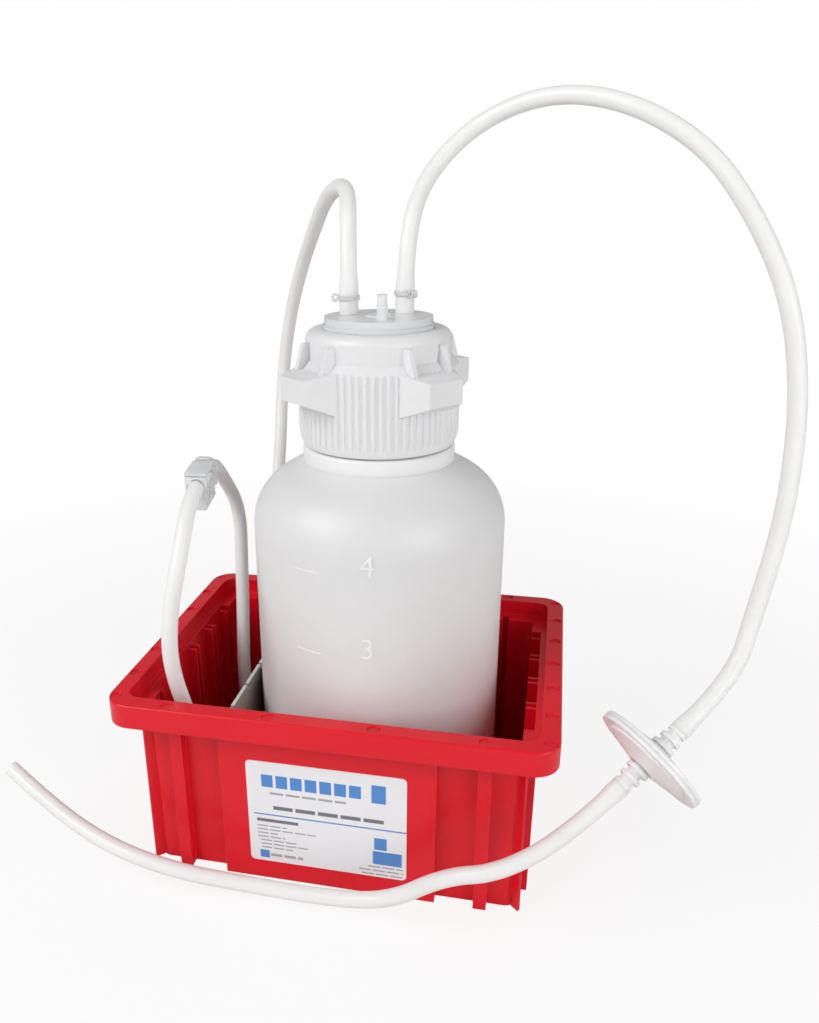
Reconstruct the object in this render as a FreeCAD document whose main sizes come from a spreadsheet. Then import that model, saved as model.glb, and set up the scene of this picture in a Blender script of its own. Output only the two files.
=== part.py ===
import FreeCAD, Part
import math
import os
import Sketcher
from FreeCAD import Placement, Rotation, Vector

# A vacuum trap: a screw-top bottle that stands in a dividable bin, with an inlet hose
# whose free end is parked in the bin and a vacuum hose that carries a disc filter.
# Lengths are millimetres and angles degrees. X runs along the bin, -Y is its labelled
# front, Z is up, and the origin is the middle of the bin's underside.

SIZES = (
    # The bin and its rim.
    ("rim_length", 276.2, "rim, outside, along X"),
    ("rim_width", 209.6, "rim, outside, along Y"),
    ("bin_height", 127.0, "floor to rim top"),
    ("rim_corner", 16.0, "radius of the rim's outer corners"),
    ("rim_skirt", 15.8, "height of the rim's hanging skirt"),
    ("rim_band", 11.2, "width of the flat rim"),
    ("rim_sheet", 2.3, "thickness of the rim and its skirt"),
    ("rim_edge", 1.5, "rounding of the rim's upper outer edge"),
    ("mouth_corner", 9.0, "radius of the mouth's corners"),
    ("bin_wall", 2.5, "thickness of the bin's walls"),
    ("bin_floor", 3.0, "thickness of the bin's floor"),
    ("shelf_drop", 11.0, "rim top to the ledge inside the mouth"),
    ("wall_setback", 21.6, "rim's outer edge to the wall's inner face, at the ledge"),
    ("wall_corner", 7.0, "radius of the wall's outer corners"),
    ("wall_draft", 1.0, "how much further in the walls stand at the floor"),
    ("panel_depth", 6.6, "how far the panels and box ribs stand out"),
    ("slot_pitch", 32.2, "spacing of the divider slots"),
    ("panel_slots", 5, "number of slots in a panel"),
    ("slot_gap", 4.4, "width of a divider slot"),
    ("rib_wall", 1.8, "thickness of the ribs beside a slot"),
    ("rib_drop", 2.5, "ledge to the tops of the ribs"),
    ("fin_reach", 6.4, "how far the corner fins stand out"),
    ("fin_sheet", 2.0, "thickness of the corner fins"),
    ("mark_radius", 4.2, "round marks on the rim, radius"),
    ("mark_depth", 1.0, "round marks on the rim, depth"),
    # The label on the front panel.
    ("label_length", 101.6, "label, along X"),
    ("label_height", 76.2, "label, up the panel"),
    ("label_corner", 3.0, "radius of the label's corners"),
    ("label_sheet", 0.3, "thickness of the label"),
    ("label_foot", 14.0, "underside to the label's lower edge"),
    # The divider.
    ("divider_sheet", 2.2, "thickness of the divider"),
    ("divider_end_gap", 0.4, "play at each end of the divider"),
    ("divider_side_gap", 0.1, "play on the side that the divider leans to"),
    ("notch_pitch", 28.6, "spacing of the notches in the divider's top"),
    ("notch_count", 6, "number of notches in the divider's top"),
    ("notch_width", 2.4, "width of a notch"),
    ("notch_depth", 3.0, "depth of a notch"),
    # The bottle.
    ("bottle_x", 16.0, "place of the bottle's axis along the bin"),
    ("bottle_radius", 80.0, "body of the bottle, outside"),
    ("bottle_wall", 2.0, "thickness of the bottle"),
    ("foot_rounding", 10.0, "rounding at the bottle's foot"),
    ("shoulder_height", 240.3, "height where body and shoulder lines cross"),
    ("shoulder_rounding", 38.0, "rounding of the shoulder"),
    ("bead_foot", 259.3, "height where the shoulder meets the bead"),
    ("bead_radius", 47.2, "bead below the neck, radius"),
    ("bead_height", 9.7, "bead below the neck, height"),
    ("bead_rounding", 2.0, "rounding of the bead's upper edge"),
    ("neck_radius", 41.5, "neck, outside"),
    ("neck_bore", 37.5, "neck, inside radius"),
    ("neck_height", 61.5, "bead to the top of the neck"),
    # The gasket between the neck and the port insert.
    ("gasket_sheet", 1.5, "thickness of the gasket"),
    ("gasket_bore", 38.0, "gasket, inside radius"),
    ("gasket_radius", 41.0, "gasket, outside radius"),
    # The port insert that the collar holds down.
    ("insert_flange", 3.0, "thickness of the insert's flange"),
    ("insert_radius", 40.5, "radius of the insert's flange"),
    ("plug_gap", 0.7, "play between the insert's plug and the neck"),
    ("plug_depth", 7.0, "depth of the plug below the flange"),
    ("window_gap", 0.4, "play between the insert and the collar's window"),
    ("web_height", 9.5, "flange underside to the foot of the raised disc"),
    ("disc_radius", 32.4, "radius of the raised disc"),
    ("disc_height", 13.7, "flange underside to the disc's top"),
    ("disc_sheet", 3.2, "thickness of the disc"),
    ("insert_wall", 3.0, "thickness of the insert's web and plug"),
    ("hub_radius", 8.2, "ring at the middle of the disc, radius"),
    ("hub_ring", 1.0, "ring at the middle of the disc, thickness"),
    ("hub_height", 0.8, "ring at the middle of the disc, height"),
    ("port_circle", 19.5, "distance of the ports from the bottle's axis"),
    ("port_turn", 47.0, "bearing of the vacuum port, from +X"),
    ("port_step", 120.0, "bearing from one port to the next"),
    ("port_radius", 3.3, "stem of a hose port"),
    ("port_bore", 2.4, "bore of a hose port"),
    ("port_height", 19.5, "height of a hose port above the disc"),
    ("barb_radius", 3.8, "ridges of a hose port"),
    ("barb_pitch", 5.5, "spacing of the ridges"),
    ("barb_count", 3, "number of ridges on a hose port"),
    ("barb_tuck", 0.1, "how far a ridge's thin end runs inside the stem"),
    ("joint_sink", 1.0, "how far a stem runs into the disc that carries it"),
    ("spigot_radius", 3.2, "closed spare spigot"),
    ("spigot_height", 14.2, "closed spare spigot, height above the disc"),
    ("spigot_step", 0.4, "how much slimmer the spare spigot's tip is"),
    ("spigot_tip", 6.0, "length of the spare spigot's slimmer tip"),
    ("tail_height", 8.0, "inlet stub below the disc"),
    # The screw collar.
    ("collar_height", 68.8, "collar, overall"),
    ("collar_radius", 48.1, "grip band between its ridges"),
    ("grip_depth", 1.0, "height of the grip ridges"),
    ("grip_count", 68, "number of grip ridges"),
    ("grip_crest", 0.32, "flat top of a grip ridge, as a share of the spacing"),
    ("grip_flank", 0.16, "sloping side of a grip ridge, as a share of the spacing"),
    ("grip_top", 47.8, "collar's lower edge to the top of the grip band"),
    ("collar_cone", 5.0, "height of the cone above the grip band"),
    ("crown_radius", 44.0, "upper part of the collar, radius"),
    ("crown_rounding", 6.0, "rounding of the collar's top edge"),
    ("collar_lip", 4.0, "thickness of the lip that holds the insert"),
    ("collar_window", 33.7, "radius of the opening in the collar's top"),
    ("thread_gap", 0.4, "play between the collar and the neck"),
    ("entry_radius", 43.6, "wider lower part of the collar's bore"),
    ("entry_depth", 15.8, "height of that wider part"),
    ("collar_tuck", 2.6, "how far the collar's lower edge rounds in"),
    ("tuck_height", 10.0, "height of that rounding"),
    ("wing_count", 4, "number of wings"),
    ("wing_turn", 48.0, "bearing of the first wing, from +X"),
    ("wing_reach", 62.5, "distance of a wing's face from the axis"),
    ("wing_root", 43.0, "distance of a wing's root plane from the axis"),
    ("wing_face_width", 24.0, "wing's face, width"),
    ("wing_root_width", 40.0, "wing's root, width"),
    ("wing_face_low", 31.4, "wing's face, lower edge"),
    ("wing_face_high", 45.4, "wing's face, upper edge"),
    ("wing_root_low", 23.4, "wing's root, lower edge"),
    ("wing_root_high", 48.9, "wing's root, upper edge"),
    ("gusset_sheet", 3.4, "thickness of the webs above a wing"),
    ("gusset_spread", 25.0, "spacing of the two webs above a wing"),
    ("gusset_top", 62.4, "height of a web's top"),
    ("gusset_head", 46.2, "distance of a web's top corner from the axis"),
    ("gusset_reach", 52.0, "distance of a web's foot from the axis"),
    ("gusset_rounding", 1.5, "rounding of a web's top corner"),
    # The hoses, their stretched ends and the ties round them.
    ("hose_radius", 5.0, "hose, outside"),
    ("hose_bore", 3.2, "hose, inside radius"),
    ("port_cuff", 20.0, "stretched end of a hose over a port"),
    ("stem_cuff", 8.5, "stretched end of a hose over a filter stem"),
    ("cuff_cone", 4.0, "taper from the stretched end to the hose"),
    ("port_play", 0.1, "play between a ridge and the stretched hose"),
    ("stem_play", 0.1, "play between a filter stem and the hose"),
    ("tie_height", 2.5, "width of a cable tie's band"),
    ("tie_sheet", 0.8, "thickness of a cable tie's band"),
    ("tie_play", 0.1, "play between a tie and its hose"),
    ("tie_place", 8.5, "disc to the lower edge of the inlet hose's tie"),
    ("tie_step", 2.0, "how much higher the vacuum hose's tie sits"),
    ("tie_head_radius", 2.4, "cable tie's round head, radius"),
    ("tie_head_width", 3.6, "cable tie's head, across"),
    ("tie_head_hole", 1.0, "hole through a cable tie's head, radius"),
    # The disc filter.
    ("filter_x", 187.9, "filter's centre"),
    ("filter_y", -77.4, "filter's centre"),
    ("filter_z", 114.2, "filter's centre"),
    ("filter_turn", 34.5, "bearing of the filter's axis, from +X"),
    ("filter_rise", 35.9, "rise of the filter's axis"),
    ("filter_radius", 34.2, "filter's disc"),
    ("filter_band", 7.0, "width of the filter's welded rim"),
    ("filter_step", 1.0, "step from the welded rim up to the cone"),
    ("filter_rim", 2.6, "half the filter's thickness at its rim"),
    ("filter_hub", 7.5, "half the filter's thickness at its hub"),
    ("rim_rounding", 1.0, "rounding of the filter's outer edge"),
    ("hub_rounding", 2.0, "rounding where a shell's cone meets its hub"),
    ("hub_foot_radius", 9.0, "radius where a shell's cone meets its hub"),
    ("ring_count", 3, "number of rings on a filter neck"),
    ("ring_place", 8.7, "filter's middle to the first ring"),
    ("ring_pitch", 5.8, "spacing of the rings on a filter neck"),
    ("ring_sheet", 2.6, "thickness of a ring on a filter neck"),
    ("ring_radius", 7.0, "first ring on a filter neck, radius"),
    ("ring_shrink", 0.7, "how much smaller each further ring is"),
    ("neck_core", 4.5, "filter neck between its rings, radius"),
    ("stem_radius", 4.2, "filter stem inside the hose"),
    ("stem_bore", 2.2, "bore through the filter"),
    ("stem_length", 8.0, "length of the stem inside the hose"),
    ("chamber_radius", 25.0, "filter's inner chamber, radius"),
    ("chamber_depth", 1.4, "filter's inner chamber, depth each side"),
    ("membrane_radius", 28.0, "filter membrane, radius"),
    ("membrane_sheet", 0.3, "filter membrane, thickness"),
    ("membrane_play", 0.2, "play round the membrane's edge"),
    # The pinch clamp on the parked hose.
    ("clamp_width", 14.0, "clamp, across the hose"),
    ("clamp_length", 26.0, "clamp, along the hose"),
    ("clamp_drop", 16.0, "hose axis to the clamp's underside"),
    ("clamp_sheet", 2.5, "thickness of the clamp's base and posts"),
    ("hinge_post", 7.0, "hose axis to the top of the hinge post"),
    ("latch_post", 11.0, "hose axis to the top of the latch post"),
    ("clamp_hole", 5.6, "radius of the holes that the hose runs through"),
    ("clamp_rounding", 4.5, "rounding of the clamp's upper corners, seen along the hose"),
    ("clamp_waist", 10.4, "width of the clamp's foot"),
    ("clamp_shoulder", 8.0, "hose axis down to where the clamp narrows to its foot"),
    ("clamp_play", 0.3, "play between the clamp's arm, frame and hose"),
    ("nub_width", 5.0, "pressing nub, at its foot"),
    ("arm_sheet", 2.0, "thickness of the clamp's arm"),
    ("arm_rounding", 0.9, "rounding of the arm's hinged end"),
    ("nose_length", 2.0, "length of the taper at the arm's free end"),
    ("nose_rise", 0.6, "rise of the taper at the arm's free end"),
    ("tooth_depth", 1.0, "depth of the latch teeth"),
    ("tooth_pitch", 1.6, "spacing of the latch teeth"),
    ("tooth_count", 4, "number of latch teeth"),
)

# Corners of the hoses' routes beyond their first straight run. The clamp sits on the run
# between the inlet hose's two lists.
ROUTE_TO_CLAMP = (
    (-11, 41, 423), (-36, 89, 417), (-59, 133, 389), (-80, 167, 356), (-97, 189, 312),
    (-103, 186, 264), (-99, 161, 217), (-96, 134, 182), (-85, 81, 141), (-79, 67, 100),
    (-77, 65, 62), (-77, 55, 28), (-78, 28, 10), (-80, -13, 9), (-83, -50, 20),
    (-86, -69, 55), (-94, -71, 98), (-101, -80, 142), (-98, -81, 180), (-94, -65, 216),
    (-96, -41, 241),
)
ROUTE_FROM_CLAMP = (
    (-103, 17, 247), (-113, 56, 229), (-108, 81, 194), (-106, 72, 150), (-101, 54, 107),
    (-100, 45, 67), (-97, 43, 32),
)
UPPER_ROUTE = (
    (38, 45, 429), (68, 54, 457), (108, 41, 469), (150, 25, 462), (191, 10, 438),
    (217, -6, 403), (238, -13, 363), (248, -19, 318), (250, -25, 273), (248, -28, 234),
    (241, -33, 192),
)
LOWER_ROUTE = (
    (108, -124, 58), (78, -122, 49), (43, -114, 16), (-1, -113, 11), (-48, -113, 12),
    (-96, -117, 18), (-143, -110, 24), (-188, -96, 36), (-223.5, -84, 53.5),
)

# A bend takes this share of the shorter run beside it. The other two are the straight
# runs out of a port and out of the filter.
ARC_SHARE = 0.45
PORT_RUN = 46.0
FILTER_RUN = 43.0


class Size:
    """A length or count, with the sheet formula that gives it."""

    def __init__(self, value, formula):
        self.value = value
        self.formula = formula

    def __add__(self, other):
        return combined(self, "+", other)

    def __radd__(self, other):
        return combined(other, "+", self)

    def __sub__(self, other):
        return combined(self, "-", other)

    def __rsub__(self, other):
        return combined(other, "-", self)

    def __mul__(self, other):
        return combined(self, "*", other)

    def __rmul__(self, other):
        return combined(other, "*", self)

    def __truediv__(self, other):
        return combined(self, "/", other)

    def __neg__(self):
        return combined(0, "-", self)

    def __float__(self):
        return float(self.value)

    def __int__(self):
        return int(self.value)


def as_size(number):
    if isinstance(number, Size):
        return number
    return Size(number, repr(number) if number >= 0 else "(%r)" % number)


def combined(first, sign, second):
    one, two = as_size(first), as_size(second)
    results = {
        "+": lambda: one.value + two.value,
        "-": lambda: one.value - two.value,
        "*": lambda: one.value * two.value,
        "/": lambda: one.value / two.value,
    }
    return Size(results[sign](), "(%s %s %s)" % (one.formula, sign, two.formula))


class SizeBook:
    """The driving sizes by name, kept in the document's sheet."""

    def __init__(self, document, rows):
        self.sheet = document.addObject("Spreadsheet::Sheet", "Sizes")
        for number, (alias, value, note) in enumerate(rows, start=1):
            self.sheet.set("A%d" % number, note)
            self.sheet.set("B%d" % number, str(value))
            self.sheet.setAlias("B%d" % number, alias)
            setattr(self, alias, Size(value, "Sizes.%s" % alias))
        document.recompute()


doc = FreeCAD.newDocument("VacuumTrap")
size = SizeBook(doc, SIZES)


# Places that several pieces share.
ledge_height = size.bin_height - size.shelf_drop
rib_top = ledge_height - size.rib_drop
panel_half = size.slot_pitch * (size.panel_slots - 1) / 2 + size.slot_gap / 2 + size.rib_wall
end_slot_place = size.slot_pitch * (size.panel_slots + 1) / 2
inner_half_length = size.rim_length / 2 - size.wall_setback
inner_half_width = size.rim_width / 2 - size.wall_setback
neck_top = size.bin_floor + size.bead_foot + size.bead_height + size.neck_height
insert_base = neck_top + size.gasket_sheet
disc_top = insert_base + size.disc_height
collar_base = insert_base + size.insert_flange + size.collar_lip - size.collar_height
cuff_port_bore = size.barb_radius + size.port_play
cuff_stem_bore = size.stem_radius + size.stem_play
neck_face = size.ring_place + size.ring_pitch * (size.ring_count - 1) + size.ring_sheet
hose_wall = size.hose_radius - size.hose_bore


def bind(thing, **formulas):
    """Sets properties from sizes and keeps them bound to the sheet."""
    for name, wanted in formulas.items():
        path = name.replace("__", ".")
        thing.setExpression(path, as_size(wanted).formula)


def place(thing, across, along, up):
    """Puts a sub-part's own origin at a point worked out from the sheet."""
    base = Vector(float(across), float(along), float(up))
    thing.Placement = Placement(base, thing.Placement.Rotation)
    bind(thing, Placement__Base__x=across, Placement__Base__y=along, Placement__Base__z=up)


def new_body(label):
    body = doc.addObject("PartDesign::Body", label)
    body.Label = label
    return body


def origin_plane(body, role):
    return next(item for item in body.Origin.OriginFeatures if item.Role == role)


def new_sketch(body, name, role):
    sketch = body.newObject("Sketcher::SketchObject", name)
    sketch.AttachmentSupport = [(origin_plane(body, role), "")]
    sketch.MapMode = "FlatFace"
    return sketch


def fix_coordinate(sketch, kind, geometry, point, wanted):
    """Ties one coordinate of a sketch point to a size."""
    axis = {"DistanceX": -2, "DistanceY": -1}[kind]
    if float(wanted) == 0:
        sketch.addConstraint(Sketcher.Constraint("PointOnObject", geometry, point, axis))
        return
    datum = Sketcher.Constraint(kind, -1, 1, geometry, point, float(wanted))
    index = sketch.addConstraint(datum)
    sketch.setExpression("Constraints[%d]" % index, as_size(wanted).formula)


def outline_sketch(body, name, role, corners):
    """A closed outline. Each corner is (across, up) or (across, up, rounding)."""
    sketch = new_sketch(body, name, role)
    spots = [Vector(float(c[0]), float(c[1]), 0) for c in corners]
    roundings = [c[2] if len(c) > 2 else None for c in corners]
    count = len(corners)
    starts, ends, arcs = [], [], []
    for i, spot in enumerate(spots):
        back = (spots[i - 1] - spot).normalize()
        ahead = (spots[(i + 1) % count] - spot).normalize()
        if roundings[i] is None:
            ends.append(spot)
            starts.append(spot)
            arcs.append(None)
            continue
        radius = float(roundings[i])
        opening = back.getAngle(ahead)
        reach = radius / math.tan(opening / 2)
        centre = spot + (back + ahead).normalize() * (radius / math.sin(opening / 2))
        first, last = spot + back * reach, spot + ahead * reach
        ends.append(first)
        starts.append(last)
        turns_left = back.cross(ahead).z < 0
        low, high = (first, last) if turns_left else (last, first)
        angles = [math.atan2(p.y - centre.y, p.x - centre.x) for p in (low, high)]
        circle = Part.Circle(centre, Vector(0, 0, 1), radius)
        arcs.append((Part.ArcOfCircle(circle, *angles), turns_left, roundings[i]))
    lines = []
    for i in range(count):
        edge = Part.LineSegment(starts[i], ends[(i + 1) % count])
        lines.append(sketch.addGeometry(edge, False))
    for i in range(count):
        before, after = lines[i - 1], lines[i]
        across, up = corners[i][0], corners[i][1]
        if arcs[i] is None:
            sketch.addConstraint(Sketcher.Constraint("Coincident", before, 2, after, 1))
            fix_coordinate(sketch, "DistanceX", after, 1, across)
            fix_coordinate(sketch, "DistanceY", after, 1, up)
            continue
        arc, turns_left, rounding = arcs[i]
        bend = sketch.addGeometry(arc, False)
        tip = sketch.addGeometry(Part.Point(spots[i]), True)
        near, far = (1, 2) if turns_left else (2, 1)
        sketch.addConstraint(Sketcher.Constraint("Tangent", before, 2, bend, near))
        sketch.addConstraint(Sketcher.Constraint("Tangent", bend, far, after, 1))
        sketch.addConstraint(Sketcher.Constraint("PointOnObject", tip, 1, before))
        sketch.addConstraint(Sketcher.Constraint("PointOnObject", tip, 1, after))
        fix_coordinate(sketch, "DistanceX", tip, 1, across)
        fix_coordinate(sketch, "DistanceY", tip, 1, up)
        index = sketch.addConstraint(Sketcher.Constraint("Radius", bend, float(rounding)))
        sketch.setExpression("Constraints[%d]" % index, as_size(rounding).formula)
    return sketch


def turned_body(label, corners):
    """A body turned about its own Z axis from a half section."""
    body = new_body(label)
    sketch = outline_sketch(body, label + "_section", "XZ_Plane", corners)
    turning = body.newObject("PartDesign::Revolution", label + "_turning")
    turning.Profile = sketch
    turning.ReferenceAxis = (sketch, ["V_Axis"])
    turning.Angle = 360
    return body


def padded_body(label, role, corners, length, symmetric=False):
    """A body pushed out square from a flat outline."""
    body = new_body(label)
    sketch = outline_sketch(body, label + "_outline", role, corners)
    pad = body.newObject("PartDesign::Pad", label + "_pad")
    pad.Profile = sketch
    pad.SideType = "Symmetric" if symmetric else "One side"
    bind(pad, Length=length)
    return body


def piece_from(label, shape):
    piece = doc.addObject("Part::Feature", label)
    piece.Label = label
    piece.Shape = shape
    return piece


def loop_through(points, corner_radius=None):
    """A flat closed wire, with its four main corners rounded when asked."""
    if corner_radius is None:
        return Part.makePolygon(list(points) + [points[0]])
    edges = []
    count = len(points)
    for i, (spot, rounded) in enumerate(points):
        before = points[i - 1][0]
        after = points[(i + 1) % count][0]
        if rounded:
            enter = spot + (before - spot).normalize() * corner_radius
            leave = spot + (after - spot).normalize() * corner_radius
            inward = (enter + leave) * 0.5 - spot
            middle = spot + inward.normalize() * (corner_radius * (math.sqrt(2) - 1))
            edges.append(Part.Arc(enter, middle, leave).toShape())
            start = leave
        else:
            start = spot
        ahead, ahead_rounded = points[(i + 1) % count]
        stop = ahead
        if ahead_rounded:
            stop = ahead + (spot - ahead).normalize() * corner_radius
        edges.append(Part.LineSegment(start, stop).toShape())
    return Part.Wire(edges)


def stepped_outline(half_length, half_width, long_steps, short_steps, depth, radius, z):
    """A rounded rectangle whose sides step outward over the given stretches."""
    points = []
    sides = (
        (0, half_length, half_width, long_steps),
        (1, half_width, half_length, short_steps),
        (2, half_length, half_width, long_steps),
        (3, half_width, half_length, short_steps),
    )
    for quarter, half_side, distance, steps in sides:
        spots = [(-half_side, distance, True)]
        for start, stop in steps:
            spots.append((start, distance, False))
            spots.append((start, distance + depth, False))
            spots.append((stop, distance + depth, False))
            spots.append((stop, distance, False))
        for along, out, rounded in spots:
            turned = Rotation(Vector(0, 0, 1), 90 * quarter).multVec(Vector(along, -out, z))
            points.append((turned, rounded))
    return loop_through(points, radius)


def rounded_slab(half_length, half_width, radius, low, high):
    wire = stepped_outline(half_length, half_width, (), (), 0, radius, low)
    return Part.Face(wire).extrude(Vector(0, 0, high - low))


def drafted_block(half_length, half_width, long_steps, short_steps, radius, low, high):
    """A stepped block whose sides lean in towards the floor as the bin's walls do."""
    depth = float(size.panel_depth)
    wires = []
    for z in (low, high):
        inset = float(size.wall_draft) * (1 - z / float(ledge_height))
        wires.append(stepped_outline(half_length - inset, half_width - inset,
                                     long_steps, short_steps, depth, radius, z))
    return Part.makeLoft(wires, True, True)


def slot_centres():
    count = int(size.panel_slots)
    return [float(size.slot_pitch) * (i - (count - 1) / 2) for i in range(count)]


def between_ribs(reach, extra=()):
    """Stretches of a panel's inside that are open, leaving out the slots' ribs."""
    half_gap = float(size.slot_gap) / 2
    rib = float(size.rib_wall)
    stretches = []
    start = -reach
    for centre in slot_centres():
        if centre - half_gap - rib > start:
            stretches.append((start, centre - half_gap - rib))
        stretches.append((centre - half_gap, centre + half_gap))
        start = centre + half_gap + rib
    return sorted(stretches + list(extra))


def bin_shape():
    length, width = float(size.rim_length) / 2, float(size.rim_width) / 2
    inner_x, inner_y = float(inner_half_length), float(inner_half_width)
    wall, floor = float(size.bin_wall), float(size.bin_floor)
    top, ledge = float(size.bin_height), float(ledge_height)
    panel, rib = float(panel_half), float(size.rib_wall)
    half_gap = float(size.slot_gap) / 2
    end_slots = [side * float(end_slot_place) for side in (-1, 1)]
    box_ribs = [(c - half_gap - rib, c + half_gap + rib) for c in end_slots]
    end_gaps = [(c - half_gap, c + half_gap) for c in end_slots]
    outer_steps = sorted([(-panel, panel)] + box_ribs)
    corner = float(size.wall_corner)
    inner_corner = corner - wall
    outside = drafted_block(inner_x + wall, inner_y + wall, outer_steps,
                            [(-panel, panel)], corner, 0, ledge - wall)
    mouth_x = length - float(size.rim_band)
    mouth_y = width - float(size.rim_band)
    mouth_corner = float(size.mouth_corner)
    collar = rounded_slab(mouth_x + wall, mouth_y + wall, mouth_corner + wall, ledge - wall, top)
    outside = outside.fuse(collar)
    outside = outside.fuse(rim_shape(mouth_x + wall, mouth_y + wall, mouth_corner + wall))
    outside = outside.fuse(corner_fins(inner_x + wall, inner_y + wall, corner, ledge - wall))
    reach = panel - rib
    ribbed = drafted_block(inner_x, inner_y, between_ribs(reach, end_gaps),
                           between_ribs(reach), inner_corner, floor, float(rib_top))
    open_steps = sorted([(-reach, reach)] + end_gaps)
    plain = drafted_block(inner_x, inner_y, open_steps, [(-reach, reach)],
                          inner_corner, float(rib_top), ledge)
    mouth = rounded_slab(mouth_x, mouth_y, mouth_corner, ledge, top)
    hollow = outside.cut(ribbed).cut(plain).cut(mouth)
    return hollow.cut(rim_marks(mouth_x, mouth_y)).removeSplitter()


def rim_shape(inner_x, inner_y, inner_corner):
    """The flat rim with its hanging skirt, rounded along the upper outer edge."""
    length, width = float(size.rim_length) / 2, float(size.rim_width) / 2
    sheet, corner = float(size.rim_sheet), float(size.rim_corner)
    top = float(size.bin_height)
    low = top - float(size.rim_skirt)
    block = rounded_slab(length, width, corner, low, top)
    upper = [e for e in block.Edges if e.BoundBox.ZMin > top - float(size.rim_edge) / 2]
    block = block.makeFillet(float(size.rim_edge), upper)
    under = rounded_slab(length - sheet, width - sheet, corner - sheet, low, top - sheet)
    core = rounded_slab(inner_x, inner_y, inner_corner, low, top)
    return block.cut(under.cut(core))


def corner_fins(wall_x, wall_y, corner, height):
    """Thin upright fins that stand out diagonally from the bin's corners."""
    sheet = float(size.fin_sheet)
    out = corner + float(size.fin_reach)
    fins = []
    for side_x, side_y in ((1, 1), (-1, 1), (-1, -1), (1, -1)):
        inset = float(size.wall_draft)
        fin = Part.makeBox(out - corner / 2, sheet, height, Vector(corner / 2, -sheet / 2, 0))
        fin.rotate(Vector(0, 0, 0), Vector(0, 0, 1), math.degrees(math.atan2(side_y, side_x)))
        fin.translate(Vector(side_x * (wall_x - inset - corner),
                             side_y * (wall_y - inset - corner), 0))
        fins.append(fin)
    return fins


def rim_marks(mouth_x, mouth_y):
    """Shallow round marks along the middle of the flat rim."""
    band = float(size.rim_band) / 2
    far, near = float(end_slot_place), float(size.slot_pitch)
    depth = float(size.mark_depth)
    spots = []
    for side in (-1, 1):
        for x in (-far, -near, near, far):
            spots.append((x, side * (mouth_y + band)))
        for y in slot_centres():
            spots.append((side * (mouth_x + band), y))
        for end in (-1, 1):
            spots.append((side * (mouth_x + band), end * mouth_y))
    top = float(size.bin_height)
    marks = [Part.makeCylinder(float(size.mark_radius), depth, Vector(x, y, top - depth))
             for x, y in spots]
    return Part.makeCompound(marks)


def make_bin():
    return piece_from("bin", bin_shape())


def make_front_label():
    half = size.label_length / 2
    corners = [(-half, 0, size.label_corner), (half, 0, size.label_corner),
               (half, size.label_height, size.label_corner),
               (-half, size.label_height, size.label_corner)]
    label = padded_body("front_label", "XZ_Plane", corners, size.label_sheet)
    lean = math.degrees(math.atan2(float(size.wall_draft), float(ledge_height)))
    label.Placement = Placement(Vector(), Rotation(Vector(1, 0, 0), lean))
    inset = size.wall_draft * (1 - size.label_foot / ledge_height)
    front = inner_half_width + size.bin_wall + size.panel_depth - inset
    place(label, 0, -front, size.label_foot)
    return label


def make_divider():
    """A plain sheet with a notched top, narrower at its foot as the slots are."""
    height = rib_top - size.bin_floor
    end = inner_half_width + size.panel_depth - size.divider_end_gap
    top_half = end - size.wall_draft * (1 - rib_top / ledge_height)
    foot_half = end - size.wall_draft * (1 - size.bin_floor / ledge_height)
    corners = [(-foot_half, 0), (foot_half, 0), (top_half, height)]
    for number in range(int(size.notch_count)):
        centre = size.notch_pitch * ((size.notch_count - 1) / 2 - number)
        right, left = centre + size.notch_width / 2, centre - size.notch_width / 2
        corners += [(right, height), (right, height - size.notch_depth),
                    (left, height - size.notch_depth), (left, height)]
    corners.append((-top_half, height))
    divider = padded_body("divider", "YZ_Plane", corners, size.divider_sheet)
    leaning_side = -size.slot_pitch * (size.panel_slots - 1) / 2 - size.slot_gap / 2
    place(divider, leaning_side + size.divider_side_gap, 0, size.bin_floor)
    return divider


def make_bottle():
    wall = size.bottle_wall
    bead_top = size.bead_foot + size.bead_height
    top = bead_top + size.neck_height
    slope = (size.bead_foot - size.shoulder_height) / (size.bottle_radius - size.bead_radius)
    inside_shoulder = size.shoulder_height - wall / 2
    inside_neck = inside_shoulder + slope * (size.bottle_radius - wall - size.neck_bore)
    corners = [
        (0, 0),
        (size.bottle_radius, 0, size.foot_rounding),
        (size.bottle_radius, size.shoulder_height, size.shoulder_rounding),
        (size.bead_radius, size.bead_foot),
        (size.bead_radius, bead_top, size.bead_rounding),
        (size.neck_radius, bead_top),
        (size.neck_radius, top),
        (size.neck_bore, top),
        (size.neck_bore, inside_neck),
        (size.bottle_radius - wall, inside_shoulder, size.shoulder_rounding - wall),
        (size.bottle_radius - wall, wall, size.foot_rounding - wall),
        (0, wall),
    ]
    bottle = turned_body("bottle", corners)
    place(bottle, size.bottle_x, 0, size.bin_floor)
    return bottle


def make_gasket():
    corners = [(size.gasket_bore, 0), (size.gasket_radius, 0),
               (size.gasket_radius, size.gasket_sheet), (size.gasket_bore, size.gasket_sheet)]
    gasket = turned_body("cap_gasket", corners)
    place(gasket, size.bottle_x, 0, neck_top)
    return gasket


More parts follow.
